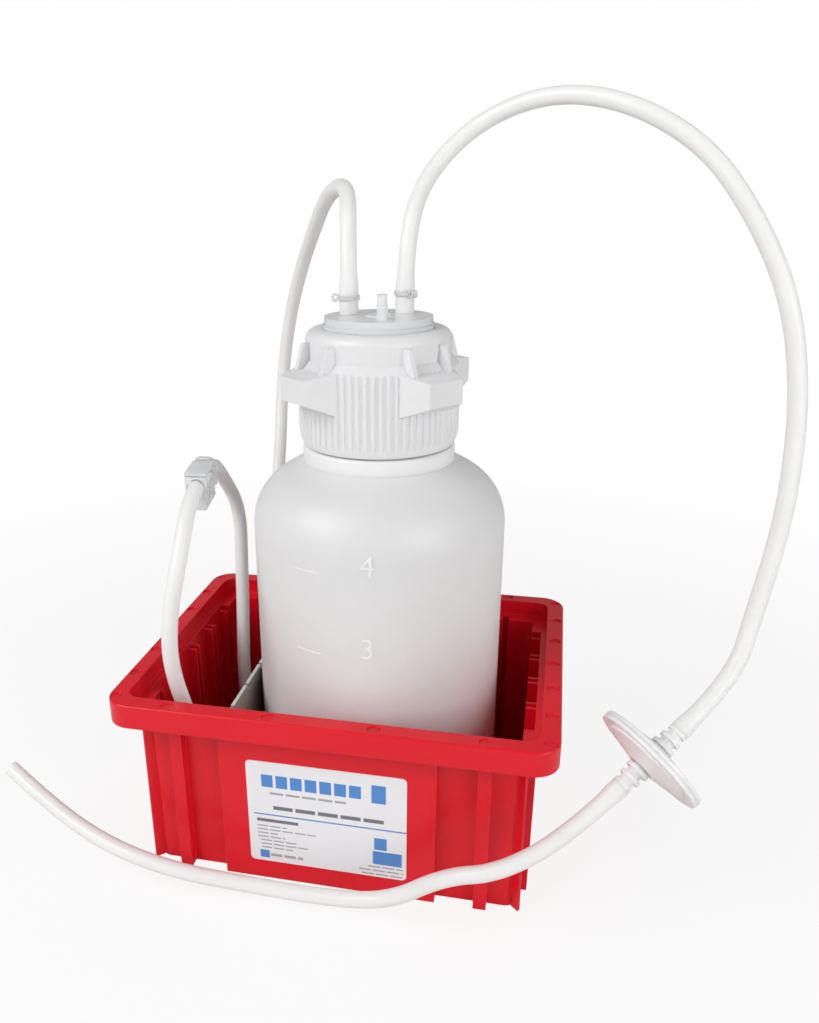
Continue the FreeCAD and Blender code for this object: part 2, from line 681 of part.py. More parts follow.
def insert_core():
    """The turned part of the insert: plug, flange, raised disc and hub ring."""
    plug = size.neck_bore - size.plug_gap
    web = size.collar_window - size.window_gap
    under = size.disc_height - size.disc_sheet
    ring_bore = size.hub_radius - size.hub_ring
    ring_top = size.disc_height + size.hub_height
    corners = [
        (plug - size.insert_wall, -size.plug_depth),
        (plug, -size.plug_depth),
        (plug, 0),
        (size.insert_radius, 0),
        (size.insert_radius, size.insert_flange),
        (web, size.insert_flange),
        (web, size.web_height),
        (size.disc_radius, size.web_height),
        (size.disc_radius, size.disc_height),
        (size.hub_radius, size.disc_height),
        (size.hub_radius, ring_top),
        (ring_bore, ring_top),
        (ring_bore, size.disc_height),
        (0, size.disc_height),
        (0, under),
        (web - size.insert_wall, under),
        (web - size.insert_wall, 0),
        (plug - size.insert_wall, -size.insert_flange),
    ]
    return turned_body("insert_core", corners)


def port_spot(order):
    """Place of a port on the disc: 0 is the vacuum port, 1 the inlet, 2 the spare."""
    bearing = math.radians(float(size.port_turn) + order * float(size.port_step))
    circle = float(size.port_circle)
    return Vector(circle * math.cos(bearing), circle * math.sin(bearing), 0)


def upright(kind, name, spot, low, **formulas):
    """A Part primitive that stands at a place on the disc."""
    solid = doc.addObject("Part::" + kind, name)
    bind(solid, **formulas)
    solid.Placement = Placement(Vector(spot.x, spot.y, float(low)), Rotation())
    bind(solid, Placement__Base__z=low)
    return solid


def make_port_insert():
    parts, bores = [insert_core()], []
    sink = size.joint_sink
    port_top = size.disc_height + size.port_height
    for name, order in (("vacuum", 0), ("inlet", 1)):
        spot = port_spot(order)
        parts.append(upright("Cylinder", name + "_stem", spot, size.disc_height - sink,
                             Radius=size.port_radius, Height=size.port_height + sink))
        for ridge in range(int(size.barb_count)):
            base = port_top - size.barb_pitch * (ridge + 1)
            parts.append(upright("Cone", "%s_ridge_%d" % (name, ridge), spot, base,
                                 Radius1=size.barb_radius,
                                 Radius2=size.port_radius - size.barb_tuck,
                                 Height=size.barb_pitch))
        bores.append(upright("Cylinder", name + "_bore", spot, -size.tail_height,
                             Radius=size.port_bore,
                             Height=port_top + size.tail_height + sink))
    tail = size.disc_height - size.disc_sheet - size.tail_height
    parts.append(upright("Cylinder", "inlet_tail", port_spot(1), tail,
                         Radius=size.port_radius, Height=size.tail_height + sink))
    spare = port_spot(2)
    parts.append(upright("Cylinder", "spare_stem", spare, size.disc_height - sink,
                         Radius=size.spigot_radius,
                         Height=size.spigot_height - size.spigot_tip + sink))
    parts.append(upright("Cylinder", "spare_tip", spare, size.disc_height,
                         Radius=size.spigot_radius - size.spigot_step,
                         Height=size.spigot_height))
    solid = doc.addObject("Part::MultiFuse", "insert_solid")
    solid.Shapes = parts
    holes = doc.addObject("Part::MultiFuse", "insert_holes")
    holes.Shapes = bores
    insert = doc.addObject("Part::Cut", "port_insert")
    insert.Base, insert.Tool = solid, holes
    insert.Label = "port_insert"
    place(insert, size.bottle_x, 0, insert_base)
    return insert


def grip_band(low, high):
    """The toothed band round the collar, as a solid prism."""
    count = int(size.grip_count)
    root, crest = float(size.collar_radius), float(size.collar_radius + size.grip_depth)
    step = 2 * math.pi / count
    top, flank = float(size.grip_crest), float(size.grip_flank)
    ridge = ((0, root), (flank, crest), (flank + top, crest), (flank + top + flank, root))
    points = []
    for i in range(count):
        for share, radius in ridge:
            turn = (i + share) * step
            points.append(Vector(radius * math.cos(turn), radius * math.sin(turn), low))
    return Part.Face(loop_through(points)).extrude(Vector(0, 0, high - low))


def wing_shape():
    """One wing that points along +X, with the two webs above it."""
    def rectangle(distance, width, low, high):
        half = width / 2
        return loop_through([Vector(distance, -half, low), Vector(distance, half, low),
                             Vector(distance, half, high), Vector(distance, -half, high)])

    root = rectangle(float(size.wing_root), float(size.wing_root_width),
                     float(size.wing_root_low), float(size.wing_root_high))
    face = rectangle(float(size.wing_reach), float(size.wing_face_width),
                     float(size.wing_face_low), float(size.wing_face_high))
    wing = Part.makeLoft([root, face], True, True)
    for side in (-1, 1):
        wing = wing.fuse(web_shape(side * float(size.gusset_spread) / 2))
    return wing


def web_shape(place_across):
    """A tall web that runs from the crown down onto a wing, rounded at its top corner."""
    sheet = float(size.gusset_sheet)
    inner = float(size.crown_radius) - sheet
    low = float(size.wing_root_low + size.wing_root_high) / 2
    y = place_across - sheet / 2
    side = loop_through([Vector(inner, y, low), Vector(float(size.gusset_reach), y, low),
                         Vector(float(size.gusset_reach), y, float(size.wing_face_high)),
                         Vector(float(size.gusset_head), y, float(size.gusset_top)),
                         Vector(inner, y, float(size.gusset_top))])
    web = Part.Face(side).extrude(Vector(0, sheet, 0))
    head = float(size.gusset_head)
    corner = [e for e in web.Edges if e.BoundBox.XMin > head - 0.01 and e.BoundBox.XMax < head + 0.01]
    return web.makeFillet(float(size.gusset_rounding), corner)


def collar_core(envelope):
    """The collar turned from its section, without grip ridges and wings."""
    edge = float(size.collar_radius + (size.grip_depth if envelope else 0))
    top = size.collar_height
    tuck, rise = float(size.collar_tuck), float(size.tuck_height)
    radius = (tuck ** 2 + rise ** 2) / (2 * tuck)
    half_turn = math.asin(rise / radius) / 2
    foot, side = Vector(edge - tuck, 0, 0), Vector(edge, 0, rise)
    middle = Vector(edge - radius + radius * math.cos(half_turn), 0,
                    rise - radius * math.sin(half_turn))
    straight = [
        side,
        Vector(edge, 0, float(size.grip_top)),
        Vector(float(size.crown_radius), 0, float(size.grip_top + size.collar_cone)),
        Vector(float(size.crown_radius), 0, float(top)),
        Vector(0, 0, float(top)),
        Vector(),
        foot,
    ]
    edges = [Part.Arc(foot, middle, side).toShape()]
    edges += [Part.LineSegment(*pair).toShape() for pair in zip(straight, straight[1:])]
    turned = Part.Face(Part.Wire(edges)).revolve(Vector(), Vector(0, 0, 1), 360)
    if envelope:
        return turned
    rim = [e for e in turned.Edges if e.BoundBox.ZMin > float(top) - 0.01]
    return turned.makeFillet(float(size.crown_rounding), rim)


def make_collar():
    """The winged screw collar: ridged grip band, wings with webs, stepped bore."""
    body = collar_core(False)
    ridges = grip_band(0, float(size.grip_top + size.collar_cone))
    body = body.fuse(ridges.common(collar_core(True)))
    for number in range(int(size.wing_count)):
        wing = wing_shape()
        turn = float(size.wing_turn) + 360 * number / int(size.wing_count)
        wing.rotate(Vector(), Vector(0, 0, 1), turn)
        body = body.fuse(wing)
    lip_under = float(size.collar_height - size.collar_lip)
    bore = float(size.neck_radius + size.thread_gap)
    body = body.cut(Part.makeCylinder(float(size.entry_radius), float(size.entry_depth)))
    body = body.cut(Part.makeCylinder(bore, lip_under))
    body = body.cut(Part.makeCylinder(float(size.collar_window), float(size.collar_height)))
    collar = piece_from("cap_collar", body.removeSplitter())
    place(collar, size.bottle_x, 0, collar_base)
    return collar


def round_bar(name, radius, length):
    bar = doc.addObject("Part::Cylinder", name)
    bind(bar, Radius=radius, Height=length)
    return bar


def make_tie(label, order, head_bearing, rise):
    """A cable tie round a hose, with a small round head that its strap runs through."""
    inner = hose_wall + cuff_port_bore + size.tie_play
    band = round_bar(label + "_band", inner + size.tie_sheet, size.tie_height)
    opening = round_bar(label + "_opening", inner, size.tie_height * 3)
    bind(opening, Placement__Base__z=-size.tie_height)
    head = round_bar(label + "_head", size.tie_head_radius, size.tie_head_width)
    eye = round_bar(label + "_eye", size.tie_head_hole, size.tie_head_width)
    for part in (head, eye):
        part.Placement = Placement(Vector(), Rotation(Vector(1, 0, 0), -90))
        bind(part, Placement__Base__x=inner + size.tie_head_radius,
             Placement__Base__y=-size.tie_head_width / 2,
             Placement__Base__z=size.tie_height / 2)
    solid = doc.addObject("Part::MultiFuse", label + "_solid")
    solid.Shapes = [band, head]
    holes = doc.addObject("Part::MultiFuse", label + "_holes")
    holes.Shapes = [opening, eye]
    tie = doc.addObject("Part::Cut", label)
    tie.Base, tie.Tool = solid, holes
    tie.Label = label
    spot = port_spot(order)
    tie.Placement = Placement(Vector(), Rotation(Vector(0, 0, 1), head_bearing))
    place(tie, size.bottle_x + spot.x, spot.y, disc_top + size.tie_place + rise)
    return tie


def rounded_path(points):
    """Straight runs joined by tangent arcs, with the arcs' radii and the length."""
    edges, radii, length = [], [], 0
    start = points[0]
    for before, corner, after in zip(points, points[1:], points[2:]):
        back, ahead = before - corner, after - corner
        reach = ARC_SHARE * min(back.Length, ahead.Length)
        turn = math.pi - back.getAngle(ahead)
        radius = reach / math.tan(turn / 2)
        enter = corner + back.normalize() * reach
        leave = corner + ahead.normalize() * reach
        inward = ((enter + leave) * 0.5 - corner).normalize()
        middle = corner + inward * (radius / math.cos(turn / 2) - radius)
        edges.append(Part.LineSegment(start, enter).toShape())
        edges.append(Part.Arc(enter, middle, leave).toShape())
        radii.append(radius)
        length += (enter - start).Length + radius * turn
        start = leave
    edges.append(Part.LineSegment(start, points[-1]).toShape())
    return edges, radii, length + (points[-1] - start).Length


def ring_face(spot, direction, outer, inner):
    disc = Part.Face(Part.Wire(Part.makeCircle(outer, spot, direction)))
    hole = Part.Face(Part.Wire(Part.makeCircle(inner, spot, direction)))
    return disc.cut(hole)


def cuff(spot, direction, bore, cuff_length):
    """The stretched end of a hose, tapering to the hose's own size."""
    outer, hose_bore = float(size.hose_radius), float(size.hose_bore)
    wide, length = float(bore), float(cuff_length)
    grown = wide + float(hose_wall)
    end = length + float(size.cuff_cone)
    section = [Vector(wide, 0, 0), Vector(grown, 0, 0), Vector(grown, 0, length),
               Vector(outer, 0, end), Vector(hose_bore, 0, end), Vector(wide, 0, length)]
    solid = Part.Face(loop_through(section)).revolve(Vector(), Vector(0, 0, 1), 360)
    solid.Placement = Placement(spot, Rotation(Vector(0, 0, 1), direction))
    return solid, end


def hose_shape(label, points, start_cuff=None, end_cuff=None):
    """A hose along its route. A cuff is the bore and length of a stretched end."""
    edges, radii, length = rounded_path(points)
    outer, bore = float(size.hose_radius), float(size.hose_bore)
    pieces, cuffs_length = [], 0
    for index, sizes in ((0, start_cuff), (-1, end_cuff)):
        if sizes is None:
            continue
        spot = points[index]
        neighbour = points[1] if index == 0 else points[-2]
        direction = (neighbour - spot).normalize()
        solid, taken = cuff(spot, direction, *sizes)
        pieces.append(solid)
        cuffs_length += taken
        inside = spot + direction * taken
        first = edges[index].Vertexes
        far = first[-1].Point if index == 0 else first[0].Point
        line = (inside, far) if index == 0 else (far, inside)
        edges[index] = Part.LineSegment(*line).toShape()
    path = Part.Wire(edges)
    start = edges[0].Vertexes[0].Point
    direction = (edges[0].Vertexes[-1].Point - start).normalize()
    tube = path.makePipe(ring_face(start, direction, outer, bore).Faces[0])
    plain = math.pi * (outer ** 2 - bore ** 2) * (length - cuffs_length)
    print("%s: length %.0f, radii %s, volume over section x length %.4f"
          % (label, length, " ".join("%.0f" % r for r in radii), tube.Volume / plain))
    for solid in pieces:
        tube = tube.fuse(solid)
    return tube


def filter_frame():
    """The filter's centre, and the turn that carries +Z to its axis."""
    centre = Vector(float(size.filter_x), float(size.filter_y), float(size.filter_z))
    bearing, rise = math.radians(float(size.filter_turn)), math.radians(float(size.filter_rise))
    axis = Vector(math.cos(rise) * math.cos(bearing), math.cos(rise) * math.sin(bearing),
                  math.sin(rise))
    return centre, axis


def inlet_points():
    start = port_spot(1) + Vector(float(size.bottle_x), 0, float(disc_top))
    corners = ROUTE_TO_CLAMP + ROUTE_FROM_CLAMP
    return [start, start + Vector(0, 0, PORT_RUN)] + [Vector(*p) for p in corners]


def make_inlet_tube():
    shape = hose_shape("inlet_tube", inlet_points(), (cuff_port_bore, size.port_cuff))
    return piece_from("inlet_tube", shape)


def make_upper_tube():
    start = port_spot(0) + Vector(float(size.bottle_x), 0, float(disc_top))
    centre, axis = filter_frame()
    end = centre + axis * float(neck_face)
    points = [start, start + Vector(0, 0, PORT_RUN)] + [Vector(*p) for p in UPPER_ROUTE]
    points += [end + axis * FILTER_RUN, end]
    shape = hose_shape("vacuum_tube_upper", points, (cuff_port_bore, size.port_cuff),
                       (cuff_stem_bore, size.stem_cuff))
    return piece_from("vacuum_tube_upper", shape)


def make_lower_tube():
    centre, axis = filter_frame()
    start = centre - axis * float(neck_face)
    points = [start, start - axis * FILTER_RUN] + [Vector(*p) for p in LOWER_ROUTE]
    shape = hose_shape("vacuum_tube_lower", points, (cuff_stem_bore, size.stem_cuff))
    return piece_from("vacuum_tube_lower", shape)


def filter_shell(label, pocket):
    """Half of the disc filter: rim, dished cone, ringed neck and bored stem."""
    corners = [(size.chamber_radius, 0)]
    if pocket:
        seat = size.membrane_radius + size.membrane_play
        corners = [(size.chamber_radius, size.membrane_sheet), (seat, size.membrane_sheet),
                   (seat, 0)]
    corners += [
        (size.filter_radius, 0),
        (size.filter_radius, size.filter_rim, size.rim_rounding),
        (size.filter_radius - size.filter_band, size.filter_rim),
        (size.filter_radius - size.filter_band, size.filter_rim + size.filter_step),
        (size.hub_foot_radius, size.filter_hub, size.hub_rounding),
        (size.neck_core, size.filter_hub),
    ]
    for order in range(int(size.ring_count)):
        low = size.ring_place + size.ring_pitch * order
        radius = size.ring_radius - size.ring_shrink * order
        corners += [(size.neck_core, low), (radius, low), (radius, low + size.ring_sheet),
                    (size.neck_core, low + size.ring_sheet)]
    corners[-1] = (size.stem_radius, neck_face)
    tip = neck_face + size.stem_length
    corners += [(size.stem_radius, tip), (size.stem_bore, tip),
                (size.stem_bore, size.chamber_depth), (size.chamber_radius, size.chamber_depth)]
    shell = turned_body(label, corners)
    centre, axis = filter_frame()
    towards = axis if not pocket else -axis
    shell.Placement = Placement(centre, Rotation(Vector(0, 0, 1), towards))
    place(shell, size.filter_x, size.filter_y, size.filter_z)
    return shell


def make_membrane():
    corners = [(0, 0), (size.membrane_radius, 0), (size.membrane_radius, size.membrane_sheet),
               (0, size.membrane_sheet)]
    membrane = turned_body("filter_membrane", corners)
    centre, axis = filter_frame()
    membrane.Placement = Placement(centre, Rotation(Vector(0, 0, 1), -axis))
    place(membrane, size.filter_x, size.filter_y, size.filter_z)
    return membrane


def clamp_placement():
    """The clamp sits on the straight middle of one run of the parked hose."""
    before, after = Vector(*ROUTE_TO_CLAMP[-1]), Vector(*ROUTE_FROM_CLAMP[0])
    along = (after - before).normalize()
    across = along.cross(Vector(0, 0, 1)).normalize()
    turn = Rotation(along, Vector(), across.cross(along), "XZY")
    return Placement((before + after) * 0.5, turn)


def make_clamp_frame():
    """A channel with two posts that the hose passes through, and a lower nub."""
    half = size.clamp_length / 2
    sheet = size.clamp_sheet
    base = -size.clamp_drop
    nub = size.nub_width / 2
    inner = half - sheet
    corners = [(-half, base), (half, base), (half, size.latch_post)]
    tooth_top = size.latch_post
    for number in range(int(size.tooth_count)):
        high = tooth_top - size.tooth_pitch * number
        corners += [(inner, high), (inner - size.tooth_depth, high - size.tooth_pitch / 2)]
    low = tooth_top - size.tooth_pitch * int(size.tooth_count)
    corners += [(inner, low), (inner, base + sheet), (nub, base + sheet),
                (nub / 2, -size.hose_radius - size.clamp_play),
                (-nub / 2, -size.hose_radius - size.clamp_play), (-nub, base + sheet),
                (-inner, base + sheet), (-inner, size.hinge_post), (-half, size.hinge_post)]
    channel = padded_body("clamp_channel", "XZ_Plane", corners, size.clamp_width, True)
    sketch = new_sketch(channel, "hose_hole", "YZ_Plane")
    ring = sketch.addGeometry(Part.Circle(Vector(), Vector(0, 0, 1), float(size.clamp_hole)), False)
    sketch.addConstraint(Sketcher.Constraint("Coincident", ring, 3, -1, 1))
    index = sketch.addConstraint(Sketcher.Constraint("Radius", ring, float(size.clamp_hole)))
    sketch.setExpression("Constraints[%d]" % index, size.clamp_hole.formula)
    hole = channel.newObject("PartDesign::Pocket", "hose_passage")
    hole.Profile = sketch
    hole.Midplane = True
    hole.Type = "ThroughAll"
    frame = doc.addObject("Part::Common", "clamp_frame")
    frame.Base, frame.Tool = channel, clamp_envelope()
    frame.Label = "clamp_frame"
    frame.Placement = clamp_placement()
    return frame


def clamp_envelope():
    """The clamp's outline along the hose: rounded above, narrower at its foot."""
    wide, narrow = size.clamp_width / 2, size.clamp_waist / 2
    waist = -size.clamp_shoulder
    corners = [(-narrow, -size.clamp_drop), (narrow, -size.clamp_drop), (narrow, waist),
               (wide, waist), (wide, size.latch_post, size.clamp_rounding),
               (-wide, size.latch_post, size.clamp_rounding), (-wide, waist), (-narrow, waist)]
    return padded_body("clamp_outline", "YZ_Plane", corners, size.clamp_length, True)


def make_clamp_arm():
    """The pressing arm, hinged over one post and ending under the latch teeth."""
    half = size.clamp_length / 2
    low = size.hinge_post + size.clamp_play
    high = low + size.arm_sheet
    left = -half
    right = half - size.clamp_sheet - size.tooth_depth - size.clamp_play
    nub = size.nub_width / 2
    bend = size.arm_rounding
    tip = size.hose_radius + size.clamp_play
    corners = [(left, low, bend), (-nub, low), (-nub / 2, tip), (nub / 2, tip), (nub, low),
               (right - size.nose_length, low), (right, low + size.nose_rise),
               (right, high), (left, high, bend)]
    arm = padded_body("clamp_arm", "XZ_Plane", corners, size.clamp_width, True)
    arm.Placement = clamp_placement()
    return arm


def check_and_export(pieces):
    """Stops on any failed object, then writes each sub-part to its own file."""
    doc.recompute()
    failed = [thing.Name for thing in doc.Objects
              if "Invalid" in thing.State or "Error" in thing.State]
    for piece in pieces:
        shape = piece.Shape
        if shape.isNull() or not shape.isValid() or not shape.Solids:
            failed.append(piece.Label)
    if failed:
        raise ValueError("These did not build: " + ", ".join(failed))
    os.makedirs("parts", exist_ok=True)
    for piece in pieces:
        piece.Shape.exportStep("parts/%s.step" % piece.Label)
        print("%-18s solids %d  volume %.1f" % (piece.Label, len(piece.Shape.Solids),
                                                piece.Shape.Volume))


check_and_export([
    make_bin(),
    make_front_label(),
    make_divider(),
    make_bottle(),
    make_gasket(),
    make_port_insert(),
    make_collar(),
    make_tie("inlet_tube_tie", 1, 195, 0),
    make_tie("vacuum_tube_tie", 0, -45, size.tie_step),
    make_inlet_tube(),
    make_upper_tube(),
    make_lower_tube(),
    filter_shell("filter_inlet_shell", False),
    filter_shell("filter_outlet_shell", True),
    make_membrane(),
    make_clamp_frame(),
    make_clamp_arm(),
])
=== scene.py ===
import math

import bmesh
import bpy
from mathutils import Matrix, Vector


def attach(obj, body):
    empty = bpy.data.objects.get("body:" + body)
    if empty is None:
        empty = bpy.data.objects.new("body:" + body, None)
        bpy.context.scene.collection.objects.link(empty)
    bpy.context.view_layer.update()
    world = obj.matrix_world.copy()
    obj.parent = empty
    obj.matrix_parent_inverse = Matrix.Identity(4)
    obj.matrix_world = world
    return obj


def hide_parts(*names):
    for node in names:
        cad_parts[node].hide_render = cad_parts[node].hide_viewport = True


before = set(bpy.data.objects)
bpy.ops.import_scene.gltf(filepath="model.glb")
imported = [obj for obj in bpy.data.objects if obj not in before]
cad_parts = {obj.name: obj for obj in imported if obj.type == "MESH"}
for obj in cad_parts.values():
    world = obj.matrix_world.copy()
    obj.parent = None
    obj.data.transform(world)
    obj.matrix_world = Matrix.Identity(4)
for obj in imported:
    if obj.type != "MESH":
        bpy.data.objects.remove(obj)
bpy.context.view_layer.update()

bl_info = {
    "name": "Vacuum Trap Dressing",
    "version": (1, 0, 0),
    "blender": (4, 5, 0),
    "location": "View3D > Sidebar > Trap",
    "description": "Gives the vacuum trap its hoses, finishes, label and stage",
    "category": "Object",
}

# Routes of the hoses, as the corners that the bent hose is drawn towards, in metres.
INLET_ROUTE = (
    (-0.003, 0.004386, 0.3487), (-0.003, 0.004386, 0.3947), (-0.011, 0.041, 0.423),
    (-0.036, 0.089, 0.417), (-0.059, 0.133, 0.389), (-0.080, 0.167, 0.356),
    (-0.097, 0.189, 0.312), (-0.103, 0.186, 0.264), (-0.099, 0.161, 0.217),
    (-0.096, 0.134, 0.182), (-0.085, 0.081, 0.141), (-0.079, 0.067, 0.100),
    (-0.077, 0.065, 0.062), (-0.077, 0.055, 0.028), (-0.078, 0.028, 0.010),
    (-0.080, -0.013, 0.009), (-0.083, -0.050, 0.020), (-0.086, -0.069, 0.055),
    (-0.094, -0.071, 0.098), (-0.101, -0.080, 0.142), (-0.098, -0.081, 0.180),
    (-0.094, -0.065, 0.216), (-0.096, -0.041, 0.241), (-0.103, 0.017, 0.247),
    (-0.113, 0.056, 0.229), (-0.108, 0.081, 0.194), (-0.106, 0.072, 0.150),
    (-0.101, 0.054, 0.107), (-0.100, 0.045, 0.067), (-0.097, 0.043, 0.032),
)
UPPER_ROUTE = (
    (0.029299, 0.014261, 0.3487), (0.029299, 0.014261, 0.3947), (0.038, 0.045, 0.429),
    (0.068, 0.054, 0.457), (0.108, 0.041, 0.469), (0.150, 0.025, 0.462),
    (0.191, 0.010, 0.438), (0.217, -0.006, 0.403), (0.238, -0.013, 0.363),
    (0.248, -0.019, 0.318), (0.250, -0.025, 0.273), (0.248, -0.028, 0.234),
    (0.241, -0.033, 0.192), (0.231895, -0.047165, 0.152844), (0.203188, -0.066893, 0.127629),
)
LOWER_ROUTE = (
    (0.172612, -0.087907, 0.100771), (0.143905, -0.107635, 0.075556),
    (0.108, -0.124, 0.058), (0.078, -0.122, 0.049), (0.043, -0.114, 0.016),
    (-0.001, -0.113, 0.011), (-0.048, -0.113, 0.012), (-0.096, -0.117, 0.018),
    (-0.143, -0.110, 0.024), (-0.188, -0.096, 0.036), (-0.2235, -0.084, 0.0535),
)

# Ends of the hoses, in metres: how far they go over a port or a filter's stem, the rings
# that show through there, and the cone that leads back to the plain hose.
PORT_REACH = 0.019
STEM_REACH = 0.0085
PORT_RINGS = (0.003, 0.0085, 0.014)
RING_HEIGHT = 0.00018
RING_WIDTH = 0.0013
CONE_LENGTH = 0.006

# Printed bars on the label, in metres. The places are across and up on the bin's front.
# A pitch breaks a bar into letter-like pieces, and the fill is the inked share of each.
UNBROKEN = (1.0, 1.0)
INK_BLOCKS = (
    (-0.0085, 0.0762, 0.0325, 0.0046, 0.00935, 0.80),
    (0.0335, 0.0765, 0.0045, 0.0066, *UNBROKEN),
    (0.0019, 0.0506, 0.0489, 0.0005, *UNBROKEN),
    (0.0388, 0.0288, 0.0092, 0.0050, *UNBROKEN),
    (0.0345, 0.0395, 0.0040, 0.0045, *UNBROKEN),
    (-0.0412, 0.0195, 0.0031, 0.0030, *UNBROKEN),
)
SLATE_BLOCKS = (
    (0.0013, 0.0564, 0.0354, 0.0014, 0.0145, 0.88),
    (-0.0317, 0.0461, 0.0136, 0.0012, *UNBROKEN),
)
STEEL_BLOCKS = (
    (-0.0115, 0.0672, 0.0245, 0.0008, 0.0105, 0.85),
    (-0.0266, 0.0193, 0.0107, 0.0010, 0.0090, 0.85),
)
# Fine rows: the height of the first, the step down, pitch, fill, and each row's two ends.
ROW_HALF_HEIGHT = 0.0005
FINE_ROWS = (
    (0.0416, 0.0028, 0.0082, 0.86,
     ((-0.0452, -0.0257), (-0.0452, -0.0070), (-0.0452, -0.0320), (-0.0452, -0.0272),
      (-0.0433, -0.0197), (-0.0433, -0.0123), (-0.0433, -0.0223))),
    (0.0217, 0.0029, 0.0090, 0.88,
     ((0.0265, 0.0490), (0.0205, 0.0490), (0.0224, 0.0490))),
)

# Lamps: where each stands and the side of its square, in metres.
LAMPS = (
    ("key_lamp", (-1.1, -1.0, 1.3), 1.1, "key"),
    ("fill_lamp", (1.3, -0.9, 0.7), 1.0, "fill"),
    ("top_lamp", (0.1, 0.4, 1.7), 1.4, "top"),
)
LAMP_AIM = Vector((0.03, 0, 0.18))

# Height of a numeral as a share of its type size.
NUMERAL_SHARE = 0.7


class TrapCamera(bpy.types.PropertyGroup):
    """Where the camera stands and how it looks."""

    place: bpy.props.FloatVectorProperty(
        name="Place", description="Where the camera stands",
        default=(0.12082, -0.53945, 0.41807), unit="LENGTH", subtype="XYZ")
    bearing: bpy.props.FloatProperty(
        name="Bearing", description="Turn of the view to the left of straight back",
        default=0.230, unit="ROTATION", subtype="ANGLE")
    dip: bpy.props.FloatProperty(
        name="Dip", description="How far the view looks down",
        default=0.366, unit="ROTATION", subtype="ANGLE")
    roll: bpy.props.FloatProperty(
        name="Roll", description="Lean of the picture",
        default=-0.015, unit="ROTATION", subtype="ANGLE")
    lens: bpy.props.FloatProperty(
        name="Lens", description="Focal length in millimetres", default=31.834, min=1)
    shift: bpy.props.FloatVectorProperty(
        name="Shift", description="Shift of the picture across and up",
        size=2, default=(0.0613, 0.0256))


class TrapHoses(bpy.types.PropertyGroup):
    """Sizes and colour of the hoses."""

    radius: bpy.props.FloatProperty(
        name="Radius", description="Outside radius of a hose",
        default=0.005, unit="LENGTH", subtype="DISTANCE")
    bore: bpy.props.FloatProperty(
        name="Bore", description="Inside radius of a hose",
        default=0.0032, unit="LENGTH", subtype="DISTANCE")
    swell: bpy.props.FloatProperty(
        name="Swell", description="How much a hose widens over a port",
        default=0.0007, unit="LENGTH", subtype="DISTANCE")
    colour: bpy.props.FloatVectorProperty(
        name="Colour", description="Colour of the hoses",
        size=4, default=(0.90, 0.90, 0.89, 1), subtype="COLOR")


class TrapFinishes(bpy.types.PropertyGroup):
    """Colours of the rigid pieces."""

    bin_colour: bpy.props.FloatVectorProperty(
        name="Bin", description="Colour of the bin",
        size=4, default=(0.76, 0.006, 0.018, 1), subtype="COLOR")
    bottle_colour: bpy.props.FloatVectorProperty(
        name="Bottle", description="Colour of the bottle",
        size=4, default=(0.88, 0.88, 0.88, 1), subtype="COLOR")
    closure_colour: bpy.props.FloatVectorProperty(
        name="Collar", description="Colour of the screw collar",
        size=4, default=(0.79, 0.79, 0.80, 1), subtype="COLOR")
    divider_colour: bpy.props.FloatVectorProperty(
        name="Divider", description="Colour of the divider",
        size=4, default=(0.36, 0.32, 0.27, 1), subtype="COLOR")
    label_colour: bpy.props.FloatVectorProperty(
        name="Label", description="Colour of the label's film",
        size=4, default=(0.84, 0.85, 0.87, 1), subtype="COLOR")
    print_colour: bpy.props.FloatVectorProperty(
        name="Print", description="Colour of the label's bars",
        size=4, default=(0.07, 0.25, 0.62, 1), subtype="COLOR")


class TrapMarks(bpy.types.PropertyGroup):
    """The raised litre marks on the bottle."""

    axis_place: bpy.props.FloatProperty(
        name="Axis", description="Place of the bottle's axis along the bin",
        default=0.016, unit="LENGTH", subtype="DISTANCE")
    wall_radius: bpy.props.FloatProperty(
        name="Wall", description="Outside radius of the bottle",
        default=0.080, unit="LENGTH", subtype="DISTANCE")
    top_litre: bpy.props.IntProperty(
        name="Top Litre", description="Number at the highest mark", default=4)
    count: bpy.props.IntProperty(
        name="Count", description="How many litre marks stand clear of the bin", default=2)
    top_height: bpy.props.FloatProperty(
        name="Top Height", description="Height of the highest number",
        default=0.2195, unit="LENGTH", subtype="DISTANCE")
    litre_height: bpy.props.FloatProperty(
        name="Litre", description="Height that a litre takes in the bottle",
        default=0.0523, unit="LENGTH", subtype="DISTANCE")
    numeral_height: bpy.props.FloatProperty(
        name="Numeral", description="Height of a number",
        default=0.013, unit="LENGTH", subtype="DISTANCE")
    numeral_bearing: bpy.props.FloatProperty(
        name="Numeral Bearing", description="Where the numbers stand, round from +X",
        default=math.radians(-84), unit="ROTATION", subtype="ANGLE")
    tick_length: bpy.props.FloatProperty(
        name="Tick", description="Length of a mark's line",
        default=0.017, unit="LENGTH", subtype="DISTANCE")
    tick_sheet: bpy.props.FloatProperty(
        name="Tick Width", description="Width of a mark's line",
        default=0.0011, unit="LENGTH", subtype="DISTANCE")
    tick_bearing: bpy.props.FloatProperty(
        name="Tick Bearing", description="Where the lines stand, round from +X",
        default=math.radians(-111), unit="ROTATION", subtype="ANGLE")
    tick_drop: bpy.props.FloatProperty(
        name="Tick Drop", description="Middle of a number down to its line",
        default=0.0065, unit="LENGTH", subtype="DISTANCE")
    relief: bpy.props.FloatProperty(
        name="Relief", description="How far the marks stand out",
        default=0.0003, unit="LENGTH", subtype="DISTANCE")


